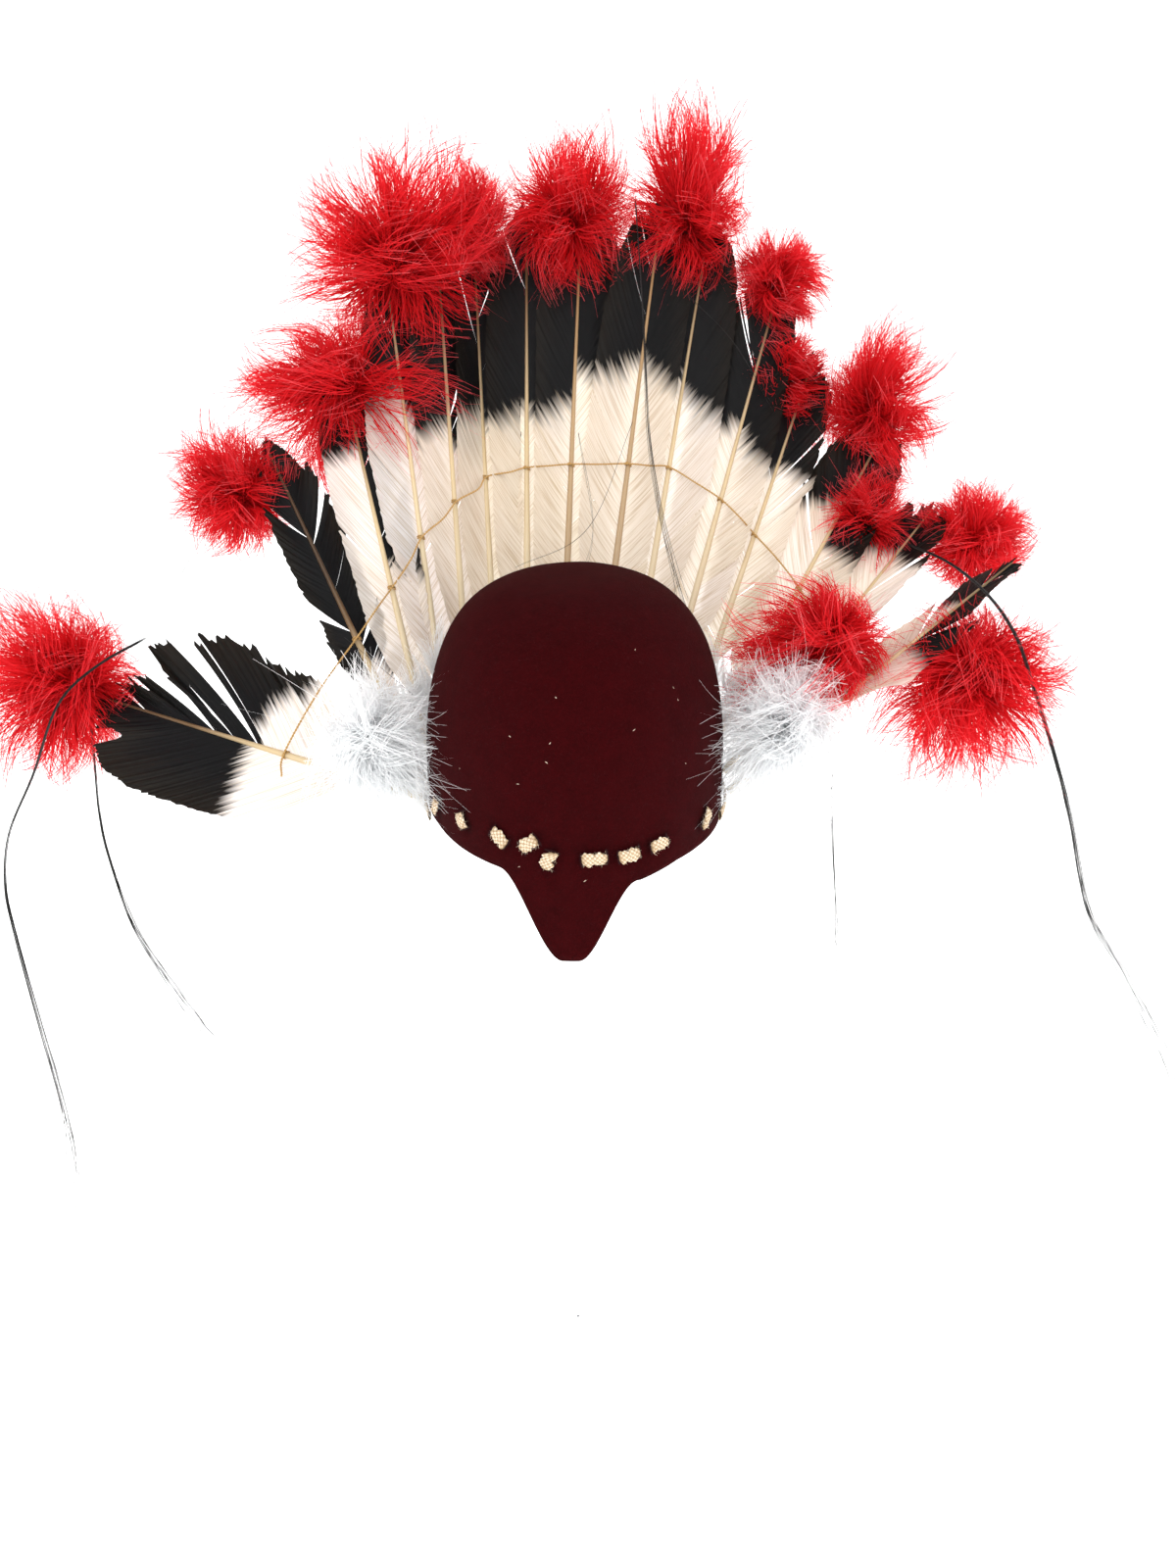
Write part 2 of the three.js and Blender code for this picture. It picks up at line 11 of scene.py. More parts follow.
import bpy
import numpy as np
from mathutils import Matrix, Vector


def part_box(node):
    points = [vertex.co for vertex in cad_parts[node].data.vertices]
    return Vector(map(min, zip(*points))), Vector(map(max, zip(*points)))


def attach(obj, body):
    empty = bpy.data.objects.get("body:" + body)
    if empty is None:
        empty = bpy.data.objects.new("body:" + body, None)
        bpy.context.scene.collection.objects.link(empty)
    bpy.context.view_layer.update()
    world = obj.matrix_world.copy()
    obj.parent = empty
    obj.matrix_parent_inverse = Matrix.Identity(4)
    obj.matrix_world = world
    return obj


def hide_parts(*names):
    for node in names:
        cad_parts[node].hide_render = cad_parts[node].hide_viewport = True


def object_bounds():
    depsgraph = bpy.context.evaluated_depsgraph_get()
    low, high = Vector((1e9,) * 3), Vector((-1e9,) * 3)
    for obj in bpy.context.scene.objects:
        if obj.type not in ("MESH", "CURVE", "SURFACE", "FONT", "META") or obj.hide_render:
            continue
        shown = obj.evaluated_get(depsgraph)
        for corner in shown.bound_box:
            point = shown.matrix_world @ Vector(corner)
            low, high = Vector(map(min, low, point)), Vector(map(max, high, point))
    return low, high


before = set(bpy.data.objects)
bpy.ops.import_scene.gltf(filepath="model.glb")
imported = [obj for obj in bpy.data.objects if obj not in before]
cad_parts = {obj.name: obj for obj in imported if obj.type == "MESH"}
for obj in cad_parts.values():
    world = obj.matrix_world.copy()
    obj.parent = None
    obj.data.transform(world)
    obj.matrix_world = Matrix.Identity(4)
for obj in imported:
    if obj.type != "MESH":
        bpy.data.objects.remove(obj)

Array = np.ndarray
METRES = 0.001
CAD_BOX = [list(corner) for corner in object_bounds()]
log = logging.getLogger("headdress")


# ------------------------------------------------------------------ colours, nodes and meshes


def linear(hex_colour: str) -> tuple[float, float, float, float]:
    """Turns an sRGB hex colour to the linear values that shaders take.

    Args:
        hex_colour: The colour as "#rrggbb".
    Returns:
        Red, green, blue and an alpha of 1.
    """
    parts = np.array([int(hex_colour[i : i + 2], 16) for i in (1, 3, 5)]) / 255
    low = parts / 12.92
    high = ((parts + 0.055) / 1.055) ** 2.4
    return (*np.where(parts <= 0.04045, low, high).tolist(), 1.0)


def add_node(
    tree: bpy.types.NodeTree, kind: str, settings: dict | None = None, links: dict | None = None
) -> bpy.types.Node:
    """Adds a node, with its settings and the sockets that feed it.

    Args:
        tree: The tree that gets the node.
        kind: The node's type, such as ShaderNodeTexNoise.
        settings: Values by input or property; "stops" holds a ramp's (place, hex colour or grey) pairs.
        links: The output sockets that feed the inputs, by input.
    Returns:
        The new node.
    """
    node = tree.nodes.new(kind)
    for key, value in (settings or {}).items():
        if key == "stops":
            elements = node.color_ramp.elements
            while len(elements) < len(value):
                elements.new(1.0)
            for element, (place, shade) in zip(elements, value):
                element.position = place
                element.color = linear(shade) if isinstance(shade, str) else (shade, shade, shade, 1.0)
        elif isinstance(key, int) or key in node.inputs:
            node.inputs[key].default_value = value
        else:
            setattr(node, key, value)
    for key, socket in (links or {}).items():
        tree.links.new(socket, node.inputs[key])
    return node


def new_material(name: str) -> tuple[bpy.types.Material, bpy.types.NodeTree, bpy.types.Node]:
    """Makes an empty material.

    Args:
        name: The material's name.
    Returns:
        The material, its tree and its output node.
    """
    material = bpy.data.materials.new(name)
    material.use_nodes = True
    material.node_tree.nodes.clear()
    output = add_node(material.node_tree, "ShaderNodeOutputMaterial")
    return material, material.node_tree, output


def unit(vectors: Array) -> Array:
    """The same vectors with a length of 1, along the last axis."""
    return vectors / np.maximum(np.linalg.norm(vectors, axis=-1, keepdims=True), 1e-9)


def square_to(vectors: Array, axis: Array) -> Array:
    """The parts of the vectors that are square to an axis of length 1, with a length of 1."""
    return unit(vectors - axis * np.sum(vectors * axis, axis=-1, keepdims=True))


def smooth_step(low: float, high: float, value: Array) -> Array:
    """0 below low, 1 above high, with a smooth S-curve between them."""
    share = np.clip((value - low) / (high - low), 0, 1)
    return share * share * (3 - 2 * share)


def smooth_path(points: Array, count: int) -> Array:
    """A smooth route through points, as a Catmull-Rom curve.

    Args:
        points: The points to pass, (n, 3).
        count: How many points to return, evenly spaced along the route.
    Returns:
        The points of the route, (count, 3).
    """
    points = np.asarray(points, float)
    ends = np.vstack([2 * points[0] - points[1], points, 2 * points[-1] - points[-2]])
    t = np.linspace(0, 1, 24, endpoint=False)[:, None, None]
    a, b, c, d = ends[:-3], ends[1:-2], ends[2:-1], ends[3:]
    fine = 0.5 * (2 * b + (c - a) * t + (2 * a - 5 * b + 4 * c - d) * t**2 + (3 * b - a - 3 * c + d) * t**3)
    fine = np.vstack([fine.transpose(1, 0, 2).reshape(-1, 3), points[-1:]])
    run = np.concatenate([[0], np.cumsum(np.linalg.norm(np.diff(fine, axis=0), axis=1))])
    places = np.linspace(0, run[-1], count)
    return np.stack([np.interp(places, run, fine[:, k]) for k in range(3)], axis=1)


@dataclass
class Shape:
    """Points and faces of one piece in millimetres, with what its material reads at each point."""

    points: Array
    faces: Array
    values: dict[str, Array] = field(default_factory=dict)

    @staticmethod
    def joined(shapes: list["Shape"]) -> "Shape":
        """One shape of several, which all have faces of as many corners and the same values."""
        starts = np.cumsum([0] + [len(s.points) for s in shapes[:-1]])
        values = {key: np.concatenate([s.values[key] for s in shapes]) for key in shapes[0].values}
        faces = np.concatenate([s.faces + start for s, start in zip(shapes, starts)])
        return Shape(np.concatenate([s.points for s in shapes]), faces, values)


def grid_faces(rows: int, columns: int, wrap: bool = False) -> Array:
    """The four-sided faces of a grid of points.

    Args:
        rows: Points along the first parameter.
        columns: Points along the second parameter.
        wrap: Whether the last column joins the first.
    Returns:
        Corner numbers, (faces, 4).
    """
    across = columns if wrap else columns - 1
    i, j = np.meshgrid(np.arange(rows - 1), np.arange(across), indexing="ij")
    k = (j + 1) % columns
    corners = [i * columns + j, i * columns + k, (i + 1) * columns + k, (i + 1) * columns + j]
    return np.stack(corners, axis=-1).reshape(-1, 4)


def repeated_faces(faces: Array, copies: int, stride: int) -> Array:
    """The faces of many equal grids whose points follow each other.

    Args:
        faces: The first grid's faces.
        copies: How many grids there are.
        stride: Points in each grid.
    Returns:
        All the faces.
    """
    return (faces[None] + stride * np.arange(copies)[:, None, None]).reshape(-1, faces.shape[1])


def ribbons(paths: Array, halves: Array, sides: Array, **values: Array) -> Shape:
    """Flat strips along many paths: each path's points, moved out both ways by half the width.

    Args:
        paths: Middle lines, (strips, stations, 3).
        halves: Half widths, (strips, stations).
        sides: Directions across, (strips, 3) or (strips, stations, 3).
        values: What the material reads, each (strips, stations).
    Returns:
        The strips as one shape.
    """
    strips, stations = halves.shape
    across = sides if sides.ndim == 3 else sides[:, None, :]
    offset = across * halves[..., None]
    points = np.stack([paths - offset, paths + offset], axis=2).reshape(-1, 3)
    faces = repeated_faces(grid_faces(stations, 2), strips, stations * 2)
    return Shape(points, faces, {k: np.repeat(v.reshape(-1), 2) for k, v in values.items()})


def tubes(paths: Array, radii: Array, sides: int, **values: Array) -> Shape:
    """Round tubes along many paths: a ring of points round each station, square to the path.

    Args:
        paths: Middle lines, (tubes, stations, 3).
        radii: Radii, (tubes, stations); where they fall to 0 the tube is closed.
        sides: Points round each ring.
        values: What the material reads, each (tubes, stations).
    Returns:
        The tubes as one shape.
    """
    count, stations = radii.shape
    tangents = unit(np.gradient(paths, axis=1))
    mean = unit(paths[:, -1] - paths[:, 0])
    helper = np.where(np.abs(mean[:, 2:]) < 0.8, [[0.0, 0.0, 1.0]], [[1.0, 0.0, 0.0]])
    first = square_to(np.broadcast_to(helper[:, None, :], tangents.shape), tangents)
    second = np.cross(tangents, first)
    turn = np.linspace(0, 2 * np.pi, sides, endpoint=False)
    ring = first[:, :, None] * np.cos(turn)[:, None] + second[:, :, None] * np.sin(turn)[:, None]
    points = (paths[:, :, None] + ring * radii[:, :, None, None]).reshape(-1, 3)
    faces = repeated_faces(grid_faces(stations, sides, wrap=True), count, stations * sides)
    return Shape(points, faces, {k: np.repeat(v.reshape(-1), sides) for k, v in values.items()})


def make_piece(
    name: str, shape: Shape, material: bpy.types.Material, stands_for: tuple[str, ...] = ()
) -> bpy.types.Object:
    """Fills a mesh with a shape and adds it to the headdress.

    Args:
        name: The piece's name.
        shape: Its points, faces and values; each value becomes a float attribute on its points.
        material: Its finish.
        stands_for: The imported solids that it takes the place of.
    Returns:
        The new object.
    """
    mesh = bpy.data.meshes.new(name)
    count, corners = shape.faces.shape
    mesh.vertices.add(len(shape.points))
    mesh.vertices.foreach_set("co", (shape.points * METRES).astype(np.float32).ravel())
    mesh.loops.add(count * corners)
    mesh.loops.foreach_set("vertex_index", shape.faces.astype(np.int32).ravel())
    mesh.polygons.add(count)
    mesh.polygons.foreach_set("loop_start", np.arange(0, count * corners, corners, dtype=np.int32))
    mesh.polygons.foreach_set("use_smooth", np.ones(count, dtype=bool))
    for key, numbers in shape.values.items():
        attribute = mesh.attributes.new(key, "FLOAT", "POINT")
        attribute.data.foreach_set("value", numbers.astype(np.float32))
    mesh.update(calc_edges=True)
    mesh.validate()
    mesh.materials.append(material)
    piece = bpy.data.objects.new(name, mesh)
    bpy.context.scene.collection.objects.link(piece)
    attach(piece, "root")
    if stands_for:
        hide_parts(*stands_for)
    log.info("%s: %d faces", name, count)
    return piece


def node_points(name: str) -> Array:
    """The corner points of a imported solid, in millimetres."""
    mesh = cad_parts[name].data
    points = np.empty(len(mesh.vertices) * 3)
    mesh.vertices.foreach_get("co", points)
    return points.reshape(-1, 3) / METRES


def node_box(name: str) -> tuple[Array, Array]:
    """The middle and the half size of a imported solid's box, in millimetres."""
    low, high = (np.array(corner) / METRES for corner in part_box(name))
    return (low + high) / 2, (high - low) / 2


# ------------------------------------------------------------------ camera, floor and light


@dataclass(frozen=True)
class Studio:
    """The view from the front and a little above, and the pale room round the headdress."""

    eye: tuple[float, float, float] = (7.0, -584.0, 264.0)
    pitch: float = 23.5  # degrees below level
    lens: float = 25.99
    sensor: float = 36.0
    floor: float = -400.0  # height of the floor
    wall: float = 4500.0  # radius of the room
    bend: float = 1200.0  # radius of the round between floor and wall
    height: float = 5000.0
    glow: float = 0.55  # of the paper, so that it stays white far from the lamps

    def build(self) -> None:
        """Adds the camera, the floor that curves up into a backdrop, and the lamps."""
        camera = bpy.data.objects.new("camera", bpy.data.cameras.new("camera"))
        camera.data.lens = self.lens
        camera.data.sensor_width = self.sensor
        camera.location = np.array(self.eye) * METRES
        camera.rotation_euler = (math.radians(90 - self.pitch), 0, 0)
        self._add(camera)
        bpy.context.scene.camera = camera
        self._backdrop()
        self._lamp("key_soft_box", (-350, -900, 1500), (0, 60, 60), 1.2, 15)
        self._lamp("fill_soft_box", (900, -1100, 300), (0, 60, 60), 1.2, 4)
        self._lamp("rim_soft_box", (200, 1300, 1200), (0, 60, 100), 1.2, 9)
        world = bpy.data.worlds.new("studio")
        world.use_nodes = True
        world.node_tree.nodes.clear()
        sky = add_node(world.node_tree, "ShaderNodeBackground", {"Color": linear("#f7f8fb"), "Strength": 0.4})
        add_node(world.node_tree, "ShaderNodeOutputWorld", links={"Surface": sky.outputs[0]})
        bpy.context.scene.world = world

    def _add(self, thing: bpy.types.Object) -> None:
        """Links a thing of the studio, which is no part of the headdress."""
        bpy.context.scene.collection.objects.link(thing)

    def _lamp(self, name: str, place: tuple, target: tuple, size: float, power: float) -> None:
        """Adds a square soft lamp that faces a point; places in millimetres, size in metres."""
        lamp = bpy.data.objects.new(name, bpy.data.lights.new(name, "AREA"))
        lamp.data.size = size
        lamp.data.energy = power
        lamp.location = np.array(place) * METRES
        way = unit(np.array(target, float) - np.array(place, float))
        lamp.rotation_euler = (math.acos(-way[2]), 0, math.atan2(way[0], -way[1]) + math.pi)
        self._add(lamp)

    def _backdrop(self) -> None:
        """Adds a round room: a profile of level floor, quarter round and straight wall, turned once round."""
        turn = np.linspace(0, np.pi / 2, 16)
        reach = np.concatenate([[1.0], self.wall - self.bend * (1 - np.sin(turn)), [self.wall]])
        rise = np.concatenate([[0.0], self.bend * (1 - np.cos(turn)), [self.height]]) + self.floor
        round_turn = np.linspace(0, 2 * np.pi, 72, endpoint=False)[None, :]
        x, y = reach[:, None] * np.cos(round_turn), reach[:, None] * np.sin(round_turn)
        points = np.stack([x, y, np.broadcast_to(rise[:, None], x.shape)], axis=-1).reshape(-1, 3)
        mesh = bpy.data.meshes.new("backdrop")
        mesh.from_pydata((points * METRES).tolist(), [], grid_faces(len(reach), 72, wrap=True).tolist())
        mesh.polygons.foreach_set("use_smooth", np.ones(len(mesh.polygons), dtype=bool))
        material, tree, output = new_material("seamless_studio_paper")
        paper = add_node(
            tree, "ShaderNodeBsdfPrincipled",
            {"Base Color": linear("#f6f6f6"), "Roughness": 0.9, "Emission Color": linear("#ffffff"),
             "Emission Strength": self.glow},
        )
        tree.links.new(paper.outputs[0], output.inputs["Surface"])
        material.cycles.emission_sampling = "NONE"  # the lamps light the piece; the paper only glows
        mesh.materials.append(material)
        self._add(bpy.data.objects.new("backdrop", mesh))


# ------------------------------------------------------------------ finishes


@dataclass(frozen=True)
class FeltFinish:
    """Wool felt, fulled and dyed: a matt nap that lights up at a glancing angle, with faint clumps and painted shade in
    its hollows.
    """

    # The ramp runs from the dye with painted shade in the bump's hollows to the dye with painted light on its raised
    # fibres.
    dye_in_shaded_hollow: str = "#1e0001"
    dye_on_lit_fibre: str = "#390104"
    # Painted shade: the colour that the felt takes in and round the cuts where the lace goes through.
    slit: str = "#080001"  # where the felt is cut for the lace
    fibre: float = 1.1  # mm, drawn coarser than the real 0.03 mm wool so that it shows

    def build(self) -> bpy.types.Material:
        """Makes the material; it reads the attribute shade, which paints shade into and round the lace's slits."""
        material, tree, output = new_material("dyed_wool_felt")
        place = add_node(tree, "ShaderNodeTexCoord").outputs["Object"]
        fine = add_node(
            tree, "ShaderNodeTexNoise",
            {"Scale": 1 / (self.fibre * METRES), "Detail": 4.0, "Roughness": 0.7}, {"Vector": place},
        )
        clump = add_node(tree, "ShaderNodeTexNoise", {"Scale": 110.0, "Detail": 3.0}, {"Vector": place})
        soft = add_node(tree, "ShaderNodeMath", {"operation": "MULTIPLY_ADD", 1: 0.35, 2: 0.325}, {0: clump.outputs[0]})
        blend = add_node(tree, "ShaderNodeMath", {"operation": "ADD"}, {0: fine.outputs[0], 1: soft.outputs[0]})
        # The fine noise also raises the bump, so the darker colour in its hollows is painted shade and the lighter
        # colour on its high points is painted light; the clumps vary the dye at random.
        colour = add_node(
            tree, "ShaderNodeValToRGB", {"stops": [(0.35, self.dye_in_shaded_hollow), (0.75, self.dye_on_lit_fibre)]},
            {0: add_node(tree, "ShaderNodeMath", {"operation": "MULTIPLY", 1: 0.5}, {0: blend.outputs[0]}).outputs[0]},
        )
        shade = add_node(tree, "ShaderNodeAttribute", {"attribute_name": "shade"})
        # Painted shade: near each slit the felt colour is mixed towards near-black.
        dark = add_node(
            tree, "ShaderNodeMix", {"data_type": "RGBA", 7: linear(self.slit)},
            {0: shade.outputs["Fac"], 6: colour.outputs[0]},
        )
        bump = add_node(tree, "ShaderNodeBump", {"Strength": 0.55, "Distance": 0.0006}, {"Height": fine.outputs[0]})
        cloth = add_node(
            tree, "ShaderNodeBsdfPrincipled",
            {"Roughness": 0.95, "Specular IOR Level": 0.06, "Sheen Weight": 0.02, "Sheen Roughness": 0.4,
             "Sheen Tint": linear("#a02028")},
            {"Base Color": dark.outputs[2], "Normal": bump.outputs[0]},
        )
        tree.links.new(cloth.outputs[0], output.inputs["Surface"])
        return material


@dataclass(frozen=True)
class StrandFinish:
    """Any fine strand that light passes through a little: down, vane barbs, thread or hair.

    The attribute tip runs from the root (0) to the end (1) of each strand and picks the colour between
    the stops; on the lace it is painted shade instead, low in the braid's grooves and at its ends. The
    attribute tone, 0 to 1, lightens or darkens whole locks, and on the lace it paints more shade at the ends.
    """

    name: str
    stops: tuple[tuple[float, str], ...]
    dark: str  # colour that tone 0 blends towards
    dark_share: float = 0.5
    roughness: float = 0.7
    passes: float = 0.35  # share of the light that goes through

    def build(self) -> bpy.types.Material:
        """Makes the material."""
        material, tree, output = new_material(self.name)
        tip = add_node(tree, "ShaderNodeAttribute", {"attribute_name": "tip"}).outputs["Fac"]
        tone = add_node(tree, "ShaderNodeAttribute", {"attribute_name": "tone"}).outputs["Fac"]
        ramp = add_node(tree, "ShaderNodeValToRGB", {"stops": list(self.stops)}, {0: tip})
        share = add_node(
            tree, "ShaderNodeMath", {"operation": "MULTIPLY_ADD", 1: -self.dark_share, 2: self.dark_share}, {0: tone}
        )
        colour = add_node(tree, "ShaderNodeMix", {"data_type": "RGBA"}, {0: share.outputs[0]})
        tree.links.new(ramp.outputs[0], colour.inputs[6])
        colour.inputs[7].default_value = linear(self.dark)
        surface = add_node(
            tree, "ShaderNodeBsdfPrincipled", {"Roughness": self.roughness, "Specular IOR Level": 0.3},
            {"Base Color": colour.outputs[2]},
        ).outputs[0]
        if self.passes:
            through = add_node(tree, "ShaderNodeBsdfTranslucent", links={"Color": colour.outputs[2]})
            surface = add_node(
                tree, "ShaderNodeMixShader", {0: self.passes}, {1: surface, 2: through.outputs[0]}
            ).outputs[0]
        tree.links.new(surface, output.inputs["Surface"])
        return material


@dataclass(frozen=True)
class VaneFinish:
    """Goose or rooster vane: zipped barbs, satin, cream to cold white, dipped black at the tip.

    It reads black (0 to 1 across the dyed edge), tone (0 cream, 1 cold white), barb (millimetres along
    the quill of the barb's root) and out (share of the way out along the barb).
    """

    barb_spacing: float = 0.9  # mm, drawn coarser than the real 0.4 mm so that it shows
    cream: str = "#e0d4c0"
    cold: str = "#ece5e1"
    dye_gain: float = 1.75  # how sharply the dye sets in
    dye_ragged: float = 0.75  # how far single barbs take the dye further
    lets_through: float = 0.38  # share of the light that passes the vane

    def build(self) -> bpy.types.Material:
        """Makes the material."""
        material, tree, output = new_material("dip_dyed_feather_vane")
        read = {
            key: add_node(tree, "ShaderNodeAttribute", {"attribute_name": key}).outputs["Fac"]
            for key in ("black", "tone", "barb", "out")
        }
        along = add_node(tree, "ShaderNodeMath", {"operation": "MULTIPLY", 1: 1 / self.barb_spacing}, {0: read["barb"]})
        slow = add_node(tree, "ShaderNodeMath", {"operation": "MULTIPLY", 1: 1.2}, {0: read["out"]})
        place = add_node(tree, "ShaderNodeCombineXYZ", links={0: along.outputs[0], 1: slow.outputs[0]})
        noise = add_node(tree, "ShaderNodeTexNoise", {"Scale": 1.0, "Detail": 2.0}, {"Vector": place.outputs[0]})
        streak = noise.outputs[0]
        ends = {"data_type": "RGBA", 6: linear(self.cream), 7: linear(self.cold)}
        pale = add_node(tree, "ShaderNodeMix", ends, {0: read["tone"]})
        lined = add_node(tree, "ShaderNodeMix", {"data_type": "RGBA", "blend_type": "MULTIPLY", 0: 1.0})
        lines = add_node(tree, "ShaderNodeValToRGB", {"stops": [(0.3, "#d8cbb6"), (0.55, "#ffffff")]}, {0: streak})
        tree.links.new(pale.outputs[2], lined.inputs[6])
        tree.links.new(lines.outputs[0], lined.inputs[7])
        gain = {"operation": "MULTIPLY_ADD", 1: self.dye_gain, 2: -self.dye_ragged}
        dye = add_node(tree, "ShaderNodeMath", gain, {0: read["black"]})
        ragged = {"operation": "MULTIPLY_ADD", 1: self.dye_ragged}
        edge = add_node(tree, "ShaderNodeMath", ragged, {0: streak, 2: dye.outputs[0]})
        edge = add_node(tree, "ShaderNodeClamp", links={0: edge.outputs[0]})
        brown = add_node(
            tree, "ShaderNodeMath", {"operation": "MULTIPLY", "use_clamp": True}, {0: read["out"], 1: streak}
        )
        black = add_node(
            tree, "ShaderNodeValToRGB", {"stops": [(0.25, "#050506"), (0.62, "#1d1811")]}, {0: brown.outputs[0]}
        )
        colour = add_node(tree, "ShaderNodeMix", {"data_type": "RGBA"}, {0: edge.outputs[0]})
        tree.links.new(lined.outputs[2], colour.inputs[6])
        tree.links.new(black.outputs[0], colour.inputs[7])
        bump = add_node(tree, "ShaderNodeBump", {"Strength": 0.35, "Distance": 0.0004}, {"Height": streak})
        satin = add_node(
            tree, "ShaderNodeBsdfPrincipled", {"Roughness": 0.55, "Specular IOR Level": 0.2},
            {"Base Color": colour.outputs[2], "Normal": bump.outputs[0]},
        )
        through = add_node(tree, "ShaderNodeBsdfTranslucent", links={"Color": colour.outputs[2]})
        mixed = add_node(tree, "ShaderNodeMixShader", {0: self.lets_through}, {1: satin.outputs[0], 2: through.outputs[0]})
        tree.links.new(mixed.outputs[0], output.inputs["Surface"])
        return material


# Dyed red; the darker stops at the roots are painted shade in the plume's core, and the pink ends are painted light
# that passes the thin barb tips.
RED_DOWN = StrandFinish(
    "dyed_marabou_down", ((0.0, "#c00c16"), (0.35, "#e2161f"), (0.75, "#ef2c35"), (1.0, "#f4656b")),
    "#a80a18", 0.4, 0.75, 0.5,
)
WHITE_DOWN = StrandFinish(
    "white_marabou_down", ((0.0, "#f7f8f9"), (0.6, "#fcfdfd"), (1.0, "#ffffff")), "#eceef0", 0.3, 0.8, 0.5
)
HORSEHAIR = StrandFinish("black_horsehair", ((0.0, "#0e0c0c"), (1.0, "#1c1817")), "#050505", 0.5, 0.35, 0.0)
QUILL = StrandFinish(
    "feather_quill_keratin", ((0.0, "#e6dabf"), (0.5, "#d0bb92"), (0.75, "#5f4a33"), (1.0, "#151110")),
    "#8a6236", 0.9, 0.4, 0.0,
)
THREAD = StrandFinish("waxed_linen_thread", ((0.0, "#a87b3a"), (1.0, "#d3b176")), "#7c5526", 0.5, 0.6, 0.0)
# The darker stops are painted shade in the braid's grooves and where it goes into the felt; the lightest is the
# cotton's own cream.
LACE = StrandFinish(
    "braided_cotton_lace", ((0.0, "#5f472c"), (0.4, "#b49a78"), (1.0, "#e6d7c1")), "#8f7352", 0.35, 0.85, 0.0
)
WOOL_FUZZ = StrandFinish("wool_felt_nap", ((0.0, "#240002"), (1.0, "#430408")), "#1b0002", 0.5, 0.95, 0.0)


# ------------------------------------------------------------------ felt cap


def dome_share(height: Array, top: float, power: float = 3.0) -> Array:
    """Half width of the dome at a height over that at the rim: the power-th root of 1 - share^power."""
    return (1 - np.clip(height / top, 0, 1) ** power) ** (1 / power)


